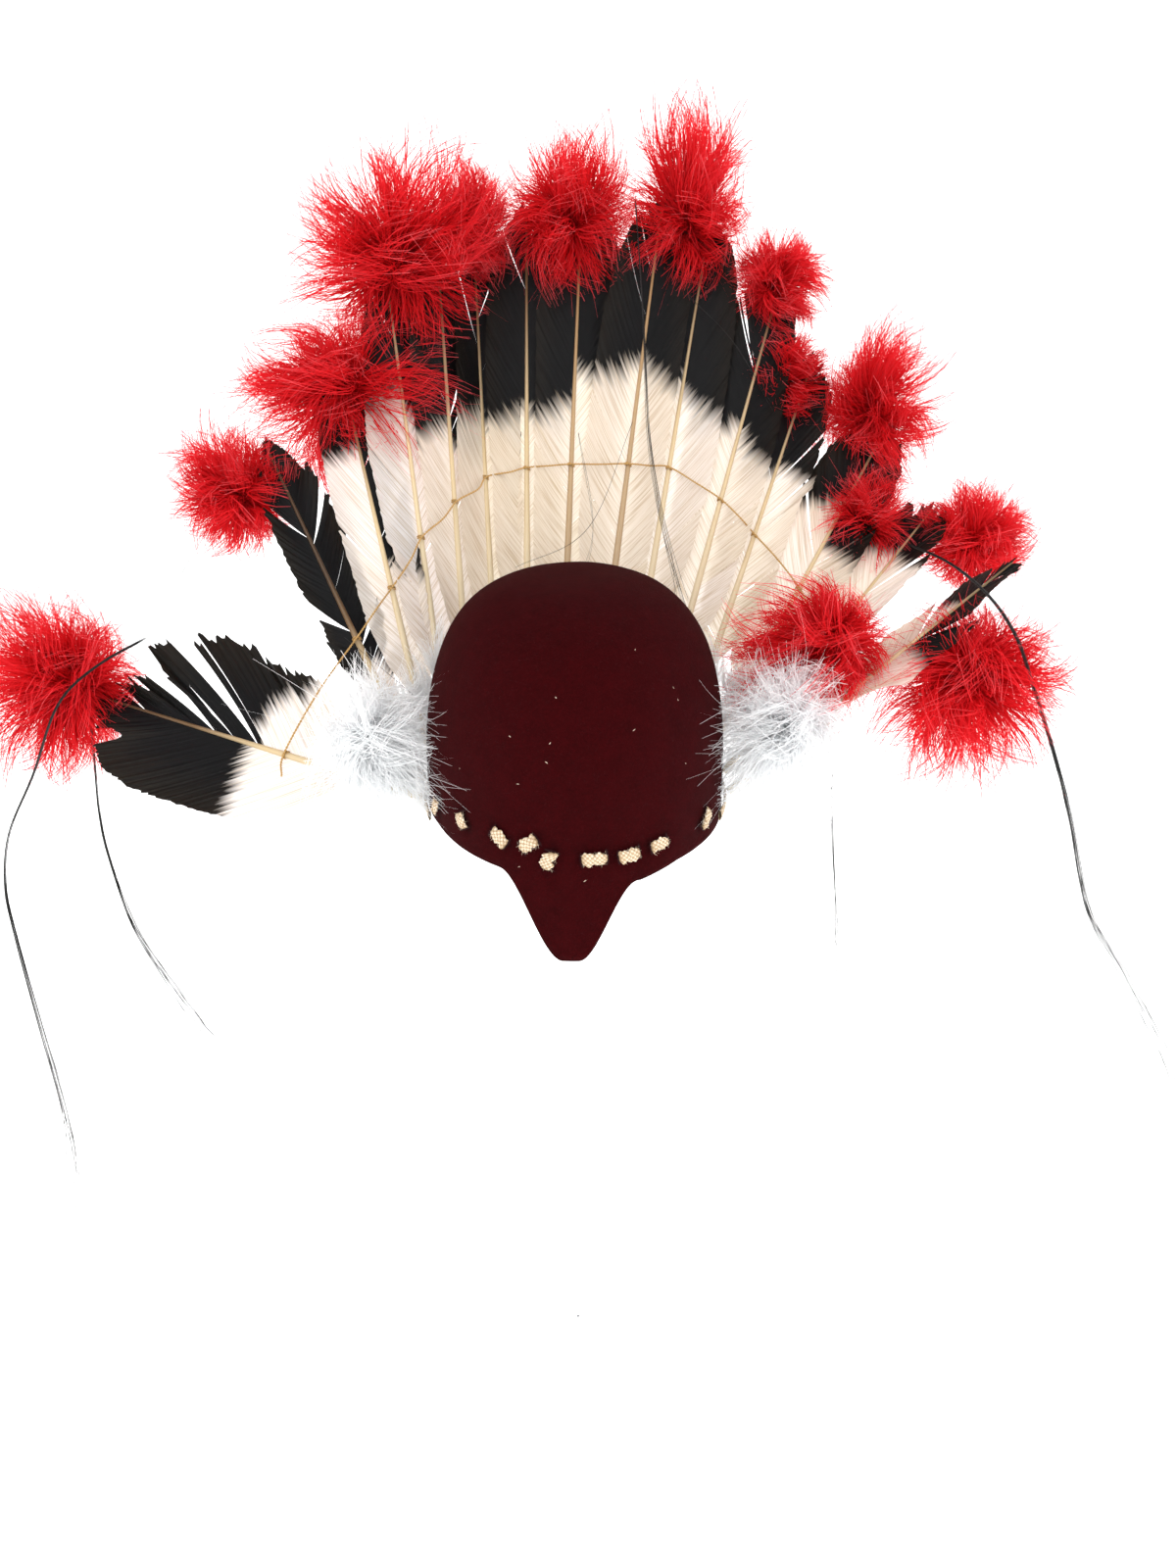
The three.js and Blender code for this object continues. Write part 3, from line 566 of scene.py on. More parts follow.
@dataclass
class FeltCap:
    """The felt cap: a dome with a forehead tongue, its cut edge, its nap and the lace's slits."""

    half_width: float = 82.0
    half_depth: float = 97.0
    height: float = 130.0
    felt: float = 2.2
    tongue_centre: float = -1.5
    tongue_left: float = 35.5
    tongue_right: float = 33.5
    tongue_tip: float = -45.0
    tongue_flank: float = 0.88
    rim: tuple[tuple[int, int], ...] = (
        (-180, 1), (-120, 4), (-90, 8), (-62, 8), (-45, 5), (-27, 3),
        (24, -3), (40, 1), (70, 2), (90, 4), (120, 3), (180, 1),
    )

    def point(self, bearing: Array, height: Array, inset: Array) -> Array:
        """Points of the wall: an oval times the dome's share at that height.

        Args:
            bearing: Degrees from the forehead.
            height: Millimetres above the rim.
            inset: Millimetres in from the outside.
        Returns:
            The points, with a last axis of 3.
        """
        turn, inset = np.radians(bearing), np.asarray(inset, float)
        share = dome_share(height, self.height - inset)
        x = (self.half_width - inset) * share * np.sin(turn)
        y = -(self.half_depth - inset) * share * np.cos(turn)
        return np.stack(np.broadcast_arrays(x, y, np.asarray(height, float)), axis=-1)

    def rim_height(self, bearing: Array) -> Array:
        """Height of the cut edge: the rim's table, lowered to the tongue's tip by an S-curve.

        Args:
            bearing: Degrees from the forehead, -180 to 180.
        Returns:
            The heights.
        """
        table = np.array(self.rim, float)
        rim = np.interp(bearing, table[:, 0], table[:, 1])
        side = self.half_width * np.sin(np.radians(bearing)) - self.tongue_centre
        reach = np.abs(side) / np.where(side < 0, self.tongue_left, self.tongue_right)
        drop = smooth_step(0, self.tongue_flank, 1 - np.clip(reach, 0, 1)) * (np.abs(bearing) < 90)
        return rim + (self.tongue_tip - rim) * drop

    def shell(self, stitches: list["StitchPlace"]) -> Shape:
        """The wall as one closed skin: up the outside to the crown, and down the inside.

        Columns are closer over the tongue. Along a column the first parameter runs outside up, over the
        crown and inside down, and a half round joins the two at the cut edge. Slow waves and a dimple at
        each stitch's ends move the outside by under a millimetre.
        """
        columns = 320
        share = np.linspace(-1, 1, columns, endpoint=False)
        bearing = 180 * (0.45 * share + 0.55 * share * np.abs(share))
        low = self.rim_height(bearing)
        levels = np.sin(np.linspace(0, np.pi / 2, 46)) ** 1.15
        levels[-1] = 0.99999
        rows = []
        for side, inset in (("outside", 0.0), ("inside", self.felt)):
            top = self.height - inset
            height = low[None, :] + (top - low[None, :]) * levels[:, None]
            height[0] += 0.5
            rows.append(self.point(bearing[None, :], height, inset))
        edge_turn = np.radians([150, 120, 90, 60, 30])[:, None]
        middle = self.point(bearing, low + 0.5, self.felt / 2)
        outward = unit(rows[0][0] - rows[1][0]) * self.felt / 2
        edge = middle[None] - np.cos(edge_turn)[..., None] * outward[None]
        edge[..., 2] -= np.sin(edge_turn) * self.felt / 2
        outside = self._waved(rows[0], stitches)
        grid = np.concatenate([rows[1][::-1], edge, outside])
        faces = grid_faces(len(grid), columns, wrap=True)
        points = grid.reshape(-1, 3)
        near = np.arange(columns // 2 - 1)
        lid = np.stack([near, near + 1, columns - 2 - near, columns - 1 - near], axis=1)
        tops = [lid + len(points) - columns, lid[:, ::-1]]
        # Painted shade: the attribute shade darkens the felt within a few millimetres of each end of a stitch, where
        # the lace goes into its slit.
        shade = np.zeros(len(points))
        for stitch in stitches:
            for end in stitch.ends():
                away = np.linalg.norm(points - end, axis=1)
                shade = np.maximum(shade, 0.9 * np.exp(-((away / 3.0) ** 2)))
        return Shape(points, np.concatenate([faces, *tops]), {"shade": shade})

    def _waved(self, points: Array, stitches: list["StitchPlace"]) -> Array:
        """The outside, moved in by slow waves and by a dimple at each end of a stitch."""
        way = unit(points * np.array([1 / self.half_width**2, 1 / self.half_depth**2, 1 / self.height**2]))
        x, y, z = np.moveaxis(points, -1, 0)
        wave = np.sin(x / 17 + 1.0) * np.sin(z / 21 + y / 34) + 0.6 * np.sin(x / 9 - z / 13) * np.sin(y / 11)
        depth = 0.35 * wave - 0.1
        for stitch in stitches:
            for end in stitch.ends():
                depth -= 0.9 * np.exp(-((np.linalg.norm(points - end, axis=-1) / 4.5) ** 2))
        return points + way * depth[..., None]

    def nap(self, count: int = 9000) -> Shape:
        """Short wool fibres that stand off the felt: bent strips a hair wide at random places."""
        rng = np.random.default_rng(7)
        bearing = rng.uniform(-180, 180, count)
        low = self.rim_height(bearing)
        height = low + (self.height * 0.995 - low) * rng.uniform(0, 1, count) ** 0.85
        root = self.point(bearing, height, 0.1)
        way = unit(root * np.array([1 / self.half_width**2, 1 / self.half_depth**2, 1 / self.height**2]))
        lean = square_to(rng.normal(size=(count, 3)), way)
        length = rng.uniform(0.5, 1.5, count) * np.where(rng.uniform(size=count) < 0.04, 2.2, 1)
        t = np.linspace(0, 1, 3)[None, :, None]
        rise = way[:, None] * length[:, None, None] * (0.8 * t - 0.45 * t * t)
        paths = root[:, None] + rise + lean[:, None] * length[:, None, None] * t
        halves = np.outer(np.full(count, 0.05), [1.0, 0.8, 0.2])
        tip = np.broadcast_to(np.linspace(0, 1, 3), halves.shape)
        tone = np.repeat(rng.uniform(0, 1, (count, 1)), 3, axis=1)
        return ribbons(paths, halves, np.cross(way, lean), tip=tip, tone=tone)

    def lint(self, count: int = 13) -> Shape:
        """Pale specks of lint caught in the nap at the front."""
        rng = np.random.default_rng(19)
        bearing = rng.uniform(-50, 50, count)
        root = self.point(bearing, rng.uniform(-5, 118, count), -0.4)
        way = unit(root / np.array([self.half_width, self.half_depth, self.height]) ** 2)
        lean = square_to(rng.normal(size=(count, 3)), way)
        t = np.linspace(-1, 1, 4)[None, :, None]
        paths = root[:, None] + lean[:, None] * t * rng.uniform(0.25, 0.8, (count, 1, 1)) + way[:, None] * (0.3 * t * t)
        halves = np.outer(rng.uniform(0.07, 0.16, count), [0.5, 1, 1, 0.4])
        flat = np.ones_like(halves)
        return ribbons(paths, halves, np.cross(way, lean), tip=flat, tone=flat * 0.7)


@dataclass(frozen=True)
class StitchPlace:
    """One stretch of lace on the felt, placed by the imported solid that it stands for."""

    name: str
    middle: Array
    along: Array  # half of its length, as a vector
    out: Array

    @staticmethod
    def of_node(name: str) -> "StitchPlace":
        """Reads the solid's middle, its long axis and the way out of the felt."""
        points = np.unique(np.round(node_points(name), 3), axis=0)
        middle = points.mean(axis=0)
        _, _, axes = np.linalg.svd(points - middle)
        spans = [np.ptp(points @ axis) for axis in axes]
        out = unit(middle / np.array([82.0, 97.0, 130.0]) ** 2)
        long = axes[int(np.argmax(spans))]
        along = square_to(long, out) * max(spans) / 2
        return StitchPlace(name, middle, along if along[0] > 0 else -along, out)

    def ends(self) -> tuple[Array, Array]:
        """The two points where the lace goes through the felt."""
        return self.middle - self.along, self.middle + self.along


@dataclass
class Lace:
    """Flat braided cotton: short stretches on the felt and the band that carries the feathers."""

    width: float = 6.5
    thickness: float = 2.0
    braid: float = 2.3  # mm of length for one crossing of the strands

    def stretch(self, place: StitchPlace, seed: int) -> Shape:
        """A stretch that comes out of one slit, bulges and goes into the next.

        The section is a flat oval, carried along an arch; crossing diagonals of the braid press into it,
        and it twists and bends a little as slack lace does.
        """
        rng = np.random.default_rng(seed)
        length = np.linalg.norm(place.along)
        t = np.linspace(-1, 1, 41)[:, None]
        turn = np.linspace(0, 2 * np.pi, 28, endpoint=False)[None, :]
        along, across = place.along / length, unit(np.cross(place.out, place.along))
        swell = (1 - np.abs(t) ** 3.5) ** 0.5
        twist = rng.uniform(-0.5, 0.5) * t + rng.uniform(-0.15, 0.15)
        bend = rng.uniform(-1.1, 1.1) * (1 - t * t) + rng.uniform(-1.2, 1.2) * t * np.abs(t)
        crumple = 0.16 * np.sin(t * 6 + seed) + 0.12 * np.sin(t * 11 + 2 * seed + turn)
        wide = self.width / 2 * (0.5 + 0.5 * swell) * (1 + crumple)
        thick = self.thickness / 2 * (0.45 + 0.65 * swell) * (1 - 1.5 * crumple)
        run = t * length / self.braid * np.pi
        skew = wide / self.braid * np.cos(turn) * np.pi
        weave = np.abs(np.sin(run + skew)) ** 0.7 * np.abs(np.sin(run - skew)) ** 0.7
        press = 1 + 0.6 * (weave - 0.45)
        u, w = wide * np.cos(turn) * (0.94 + 0.06 * press), thick * np.sin(turn) * press
        side = u * np.cos(twist) - w * np.sin(twist)
        rise = u * np.sin(twist) + w * np.cos(twist) + 0.9 * swell - 0.75 + 0.3 * self.thickness
        points = (
            place.middle
            + along * (t * length + 0 * turn)[..., None]
            + across * (side + bend)[..., None]
            + place.out * rise[..., None]
        )
        # Painted shade: tip darkens the grooves between the braid's crossings and the ends where the lace dips into the
        # felt, and tone darkens those ends further.
        tip = np.clip(0.05 + 1.1 * weave * swell, 0, 1)
        tone = np.broadcast_to(0.4 + 0.6 * swell, tip.shape)
        return Shape(points.reshape(-1, 3), grid_faces(41, 28, wrap=True), {"tip": tip.ravel(), "tone": tone.ravel()})

    def fray(self, place: StitchPlace, seed: int, count: int = 110) -> Shape:
        """Loose cotton fibres that stand off a stretch: bent strips at random places on it."""
        rng = np.random.default_rng(seed)
        length = np.linalg.norm(place.along)
        across = unit(np.cross(place.out, place.along))
        t, u = rng.uniform(-0.95, 0.95, (2, count, 1))
        root = place.middle + place.along * t + across * u * self.width / 2 + place.out * 0.9 * np.sqrt(1 - u * u)
        way = unit(rng.normal(size=(count, 3)) + place.out * 0.9)
        s = np.linspace(0, 1, 4)[None, :, None]
        bend = square_to(rng.normal(size=(count, 3)), way)
        reach = rng.uniform(0.6, 2.0, (count, 1, 1))
        paths = root[:, None] + way[:, None] * s * reach + bend[:, None] * s**2 * reach * 0.6
        halves = np.full((count, 4), 0.07) * np.array([1, 0.9, 0.7, 0.3])
        flat = np.ones_like(halves)
        return ribbons(paths, halves, np.cross(way, bend), tip=flat * 0.8, tone=flat * 0.8)

    def slit(self, place: StitchPlace) -> Shape:
        """Painted shade in the cuts in the felt where a stretch goes in: a dark narrow leaf across each end."""
        across = unit(np.cross(place.out, place.along))
        ends = np.stack(place.ends())
        t = np.linspace(-1, 1, 9)[None, :, None]
        paths = ends[:, None] + across * t * (self.width / 2 + 1.0) - place.out * 0.35
        halves = np.repeat(0.75 * (1 - np.linspace(-1, 1, 9)[None, :] ** 2) ** 0.6 + 0.02, 2, axis=0)
        flat = np.zeros_like(halves)
        return ribbons(paths, halves, np.broadcast_to(unit(place.along), (2, 3)), tip=flat, tone=flat)

    def band(self, cap: FeltCap) -> Shape:
        """The band round the back and sides: a flat oval section carried along the rim, braided."""
        low, high = (np.array(corner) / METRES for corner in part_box("back_lace"))
        count = 260
        bearing = 180 + np.linspace(-112, 112, count)[:, None]
        turn = np.linspace(0, 2 * np.pi, 16, endpoint=False)[None, :]
        middle, half = (low[2] + high[2]) / 2, (high[2] - low[2]) / 2
        run = np.radians(bearing) * 90 / self.braid * np.pi
        skew = half / self.braid * np.sin(turn) * np.pi
        weave = np.abs(np.sin(run + skew)) ** 0.7 * np.abs(np.sin(run - skew)) ** 0.7
        press = 1 + 0.25 * (weave - 0.5)
        height = middle + half * np.sin(turn) + 0 * bearing
        inset = -1.5 - 0.8 * np.cos(turn) * press
        points = cap.point(bearing, height, inset)
        # Painted shade in the braid's grooves.
        tip = 0.2 + 0.7 * weave
        values = {"tip": tip.ravel(), "tone": np.full(tip.size, 0.7)}
        return Shape(points.reshape(-1, 3), grid_faces(count, 16, wrap=True), values)


# ------------------------------------------------------------------ feathers


@dataclass(frozen=True)
class FeatherRow:
    """One feather: half widths of its vane, where the thread crosses, its dye, tone and wear."""

    left: float
    right: float
    tie: float
    black_left: float  # share of the quill where the dye starts on the left vane
    black_right: float
    tone: float  # 0 cream, 1 cold white
    worn_left: float  # 0 neat, 1 split and frayed
    worn_right: float


FEATHERS = (
    FeatherRow(46, 62, 84, 0.52, 0.50, 0.95, 0.10, 1.40),
    FeatherRow(18, 22, 92, 0.30, 0.34, 0.95, 1.00, 1.10),
    FeatherRow(24, 30, 108, 0.80, 0.50, 0.95, 0.60, 0.90),
    FeatherRow(26, 32, 128, 0.76, 0.70, 0.85, 0.50, 0.70),
    FeatherRow(26, 34, 144, 0.64, 0.60, 0.55, 0.40, 0.50),
    FeatherRow(26, 34, 158, 0.63, 0.60, 0.30, 0.30, 0.40),
    FeatherRow(26, 34, 160, 0.61, 0.60, 0.20, 0.30, 0.30),
    FeatherRow(28, 34, 160, 0.61, 0.67, 0.20, 0.20, 0.20),
    FeatherRow(30, 30, 162, 0.69, 0.69, 0.30, 0.05, 0.10),
    FeatherRow(34, 28, 164, 0.68, 0.65, 0.45, 0.20, 0.20),
    FeatherRow(34, 26, 150, 0.66, 0.64, 0.45, 0.30, 0.40),
    FeatherRow(34, 26, 140, 0.68, 0.70, 0.40, 0.40, 0.60),
    FeatherRow(32, 26, 120, 0.74, 0.62, 0.45, 0.30, 0.50),
    FeatherRow(34, 28, 106, 0.80, 0.78, 0.50, 0.50, 0.60),
    FeatherRow(24, 20, 84, 0.80, 0.62, 0.35, 0.60, 0.80),
)
PROFILE = np.array([
    (0.0, 0.0), (0.16, 0.0), (0.24, 0.62), (0.36, 0.9), (0.52, 1.0), (0.68, 1.0), (0.8, 0.97), (0.9, 0.85),
    (0.96, 0.58), (1.0, 0.12),
])
TOP_FEATHER = 8  # lies over both its neighbours
QUILL_RADII = np.array([(0.0, 2.3), (0.33, 2.1), (0.5, 1.5), (0.68, 1.1), (0.9, 0.75), (1.0, 0.4)])


@dataclass
class FeatherFan:
    """The fifteen feathers, whose quills run straight from the lace to their tips."""

    rows: tuple[FeatherRow, ...] = FEATHERS
    lift: float = 0.15  # forward per millimetre out, on the side that lies over its neighbour
    next_quill: float = 0.86  # share of the way to the next quill that a vane may reach
    groups: int = 110  # strips between neighbouring barbs on each side of a quill

    def __post_init__(self) -> None:
        """Reads each quill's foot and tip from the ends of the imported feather."""
        feet, tips = [], []
        for index in range(len(self.rows)):
            points = np.unique(np.round(node_points(f"feather_{index + 1:02d}"), 2), axis=0)
            middle = points.mean(axis=0)
            axis = np.linalg.svd(points - middle)[2][0]
            axis = axis if axis @ middle > 0 else -axis
            run = (points - middle) @ axis
            feet.append(points[run < run.min() + 6].mean(axis=0))
            tips.append(points[run > run.max() - 6].mean(axis=0))
        self.foot, tip = np.array(feet), np.array(tips)
        self.length = np.linalg.norm(tip - self.foot, axis=1)
        self.direction = (tip - self.foot) / self.length[:, None]

    def line(self, index: int, along: Array) -> Array:
        """Points on a quill, a straight line from its foot."""
        return self.foot[index] + self.direction[index] * np.asarray(along, float)[..., None]

    def across(self, index: int, along: Array, side: int) -> Array:
        """The way across a vane: towards the neighbour's quill on that side, square to the quill.

        Args:
            index: The feather.
            along: Distances up its quill.
            side: -1 for left and 1 for right.
        Returns:
            Directions of length 1.
        """
        inside = 0 <= index + side < len(self.rows)
        other = index + side if inside else index - side
        way = (self.line(other, along) - self.line(index, along)) * (1 if inside else -1)
        return square_to(way, self.direction[index])

    def front(self, index: int, along: Array) -> Array:
        """The way out of a feather's front: both sides' directions crossed with the quill."""
        both = self.across(index, along, 1) - self.across(index, along, -1)
        return unit(np.cross(both, self.direction[index]))

    def reach(self, index: int, along: Array, side: int) -> Array:
        """How far the vane reaches: its own half width by the profile, but not past the next quill."""
        share = np.clip(along / self.length[index], 0, 1)
        row = self.rows[index]
        own = np.interp(share, PROFILE[:, 0], PROFILE[:, 1]) * (row.left if side < 0 else row.right)
        if not 0 <= index + side < len(self.rows):
            return own
        space = np.linalg.norm(self.line(index + side, along) - self.line(index, along), axis=-1)
        return np.minimum(own, self.next_quill * space)

    def point(self, index: int, along: Array, side: int, far: Array, out: Array) -> Array:
        """Points of a vane: up the quill, across it and out of its front, with the overlap's lift."""
        over = index == TOP_FEATHER or (index < TOP_FEATHER) == (side < 0)
        rise = out + (self.lift if over else -self.lift) * far
        return (
            self.line(index, along)
            + self.front(index, along) * rise[..., None]
            + self.across(index, along, side) * np.asarray(far)[..., None]
        )

    def vane(self, index: int, side: int) -> Shape:
        """One side of a vane, zipped together from barbs and split where they have come apart.

        Barbs leave the quill at 50 degrees near the foot and 20 near the tip, bend tipwards and end on
        the vane's outline. Each strip runs between two barbs with the angle, cut and curl of its clump,
        so strips of one clump meet and the vane splits between clumps.
        """
        row, length = self.rows[index], self.length[index]
        rng = np.random.default_rng(100 + 2 * index + (side > 0))
        n, m = self.groups, 11
        roots = np.linspace(0.165, 0.988, n + 1) * length
        ragged = row.worn_left if side < 0 else row.worn_right
        worn = 0.3 + ragged
        clump = np.cumsum(rng.uniform(size=n) < 0.02 + 0.055 * ragged)
        draw = rng.normal(size=(clump.max() + 1, 5))[clump]
        root = np.stack([roots[:-1], roots[1:]], axis=1)
        slant = np.interp(root / length, [0.16, 0.5, 1.0], [50, 38, 19]) + draw[:, :1] * 2.6 * worn
        slant = np.radians(slant)
        far = np.full(root.shape, 20.0)
        for _ in range(16):
            tip_along = np.minimum(root + far * 1.2 / np.tan(slant), length * 0.999)
            far = 0.5 * far + 0.5 * np.maximum(self.reach(index, tip_along, side), 0.8)
        past = np.clip((root + far * 1.2 / np.tan(slant) - length) / 14, 0, 1)
        ripple = rng.normal(size=n + 1) * 0.018 * worn
        far = far * (1 - 0.55 * past) * (1 + np.stack([ripple[:-1], ripple[1:]], axis=1))
        far *= np.clip(1 - 0.07 * worn * np.abs(draw[:, 1:2]), 0.6, 1)
        v = np.linspace(0, 1, m)[None, :, None]
        root, slant, far = root[:, None], slant[:, None], far[:, None]
        span = far * v
        along = np.minimum(root + span / np.tan(slant) * (1 + 0.2 * v), length * 1.015 + 3 * v)
        wave = np.sin(root / length * 11 + index * 1.7 + side) * 1.4 + np.sin(root / length * 27 + index * 2.3) * 0.6
        curl = (wave * (0.9 + 0.6 * worn) + draw[:, 2, None, None] * 2.4 * worn) * v**2
        lines = 0.16 * rng.normal(size=n + 1)
        barb_line = np.stack([lines[:-1], lines[1:]], axis=1)[:, None] * v
        points = self.point(index, along, side, span, curl + barb_line)
        dyed_from = row.black_left if side < 0 else row.black_right
        place = along / length + 0.04 * v + 0.008 * rng.normal(size=(n, 1, 1)) + 0.012 * draw[:, 3, None, None] * ragged
        black = smooth_step(dyed_from - 0.05, dyed_from + 0.06, place)
        full = np.ones((n, m, 2))
        tone = np.clip(row.tone + 0.12 * draw[:, 4, None, None] * full, 0, 1)
        values = {
            "black": black.ravel(), "tone": tone.ravel(),
            "barb": (root * full + 1000.0 * index).ravel(), "out": (v * full).ravel(),
        }
        return Shape(points.reshape(-1, 3), repeated_faces(grid_faces(m, 2), n, m * 2), values)

    def quill(self, index: int) -> Shape:
        """A quill: a round shaft whose radius falls along a table, a quarter millimetre in front of the vane."""
        length, row = self.length[index], self.rows[index]
        share = np.concatenate([[0, 0.002], np.linspace(0.01, 0.99, 44), [1.0]])
        radius = np.interp(share, QUILL_RADII[:, 0], QUILL_RADII[:, 1])
        radius[[0, -1]] = 0.01
        path = self.line(index, share * length) + self.front(index, share * length) * 0.25
        dye = (row.black_left + row.black_right) / 2
        tip = np.clip(share / dye * 0.55, 0, 1)
        tone = np.full(share.shape, 0.3 if index in (7, 8) else 0.8)
        return tubes(path[None], radius[None], 10, tip=tip[None], tone=tone[None])


@dataclass
class BridleThread:
    """The waxed thread that ties the quills at their middles and sags between them."""

    fan: FeatherFan
    radius: float = 0.6
    lay: float = 3.6  # mm for one turn of the two plies
    slack: float = 6.0

    def _route(self) -> Array:
        """Knots on the quills' fronts, with sagging points half way between them."""
        fan = self.fan
        knots, fronts = [], []
        for index, row in enumerate(fan.rows):
            tie = np.array([row.tie], float)
            radius = np.interp(row.tie / fan.length[index], QUILL_RADII[:, 0], QUILL_RADII[:, 1])
            knots.append(fan.point(index, tie, 1, np.zeros(1), np.array([radius + self.radius + 0.9]))[0])
            fronts.append(fan.front(index, tie)[0])
        knots, fronts = np.array(knots), np.array(fronts)
        middles = (knots[1:] + knots[:-1]) / 2 + fronts[:-1] * self.slack
        middles[:, 2] -= 1.5
        route = np.empty((2 * len(knots) - 1, 3))
        route[::2], route[1::2] = knots, middles
        start = fan.point(0, np.array([78.0]), -1, np.array([14.0]), np.array([4.0]))
        end = fan.point(14, np.array([80.0]), 1, np.array([12.0]), np.array([4.0]))
        return np.vstack([start, route, end])

    def plies(self) -> Shape:
        """Two strands that wind round the route half a turn apart, like twisted cord."""
        route = smooth_path(self._route(), 1500)
        run = np.concatenate([[0], np.cumsum(np.linalg.norm(np.diff(route, axis=0), axis=1))])
        tangent = unit(np.gradient(route, axis=0))
        first = square_to(np.broadcast_to([0.0, 0.0, 1.0], tangent.shape), tangent)
        second = np.cross(tangent, first)
        turn = 2 * np.pi * run[None, :] / self.lay + np.array([[0.0], [np.pi]])
        wound = np.cos(turn)[..., None] * first + np.sin(turn)[..., None] * second
        paths = route[None] + wound * self.radius * 0.5
        radii = np.full(turn.shape, self.radius * 0.55)
        radii[:, [0, -1]] = 0.01
        tip = 0.5 + 0.4 * np.sin(turn * 3)
        return tubes(paths, radii, 5, tip=tip, tone=np.ones_like(tip) * 0.8)

    def knots(self) -> Shape:
        """Two turns round every quill where the thread crosses it: short coils, closed at both ends."""
        fan = self.fan
        paths = []
        t = np.linspace(0, 2, 34)
        for index, row in enumerate(fan.rows):
            radius = np.interp(row.tie / fan.length[index], QUILL_RADII[:, 0], QUILL_RADII[:, 1]) + 0.45
            centre = fan.line(index, row.tie + (t - 1) * 1.1) + fan.front(index, np.full(t.shape, row.tie)) * 0.25
            front = fan.front(index, np.array([row.tie]))[0]
            side = np.cross(fan.direction[index], front)
            turn = 2 * np.pi * t[:, None]
            paths.append(centre + (np.cos(turn) * front + np.sin(turn) * side) * radius)
        paths = np.array(paths)
        radii = np.full(paths.shape[:2], 0.42)
        radii[:, [0, -1]] = 0.01
        flat = np.ones_like(radii)
        return tubes(paths, radii, 5, tip=flat * 0.4, tone=flat * 0.7)


# ------------------------------------------------------------------ marabou


class Down(Enum):
    """The two dyes of marabou on the headdress."""

    RED = "red_plume"
    WHITE = "white_fluff"


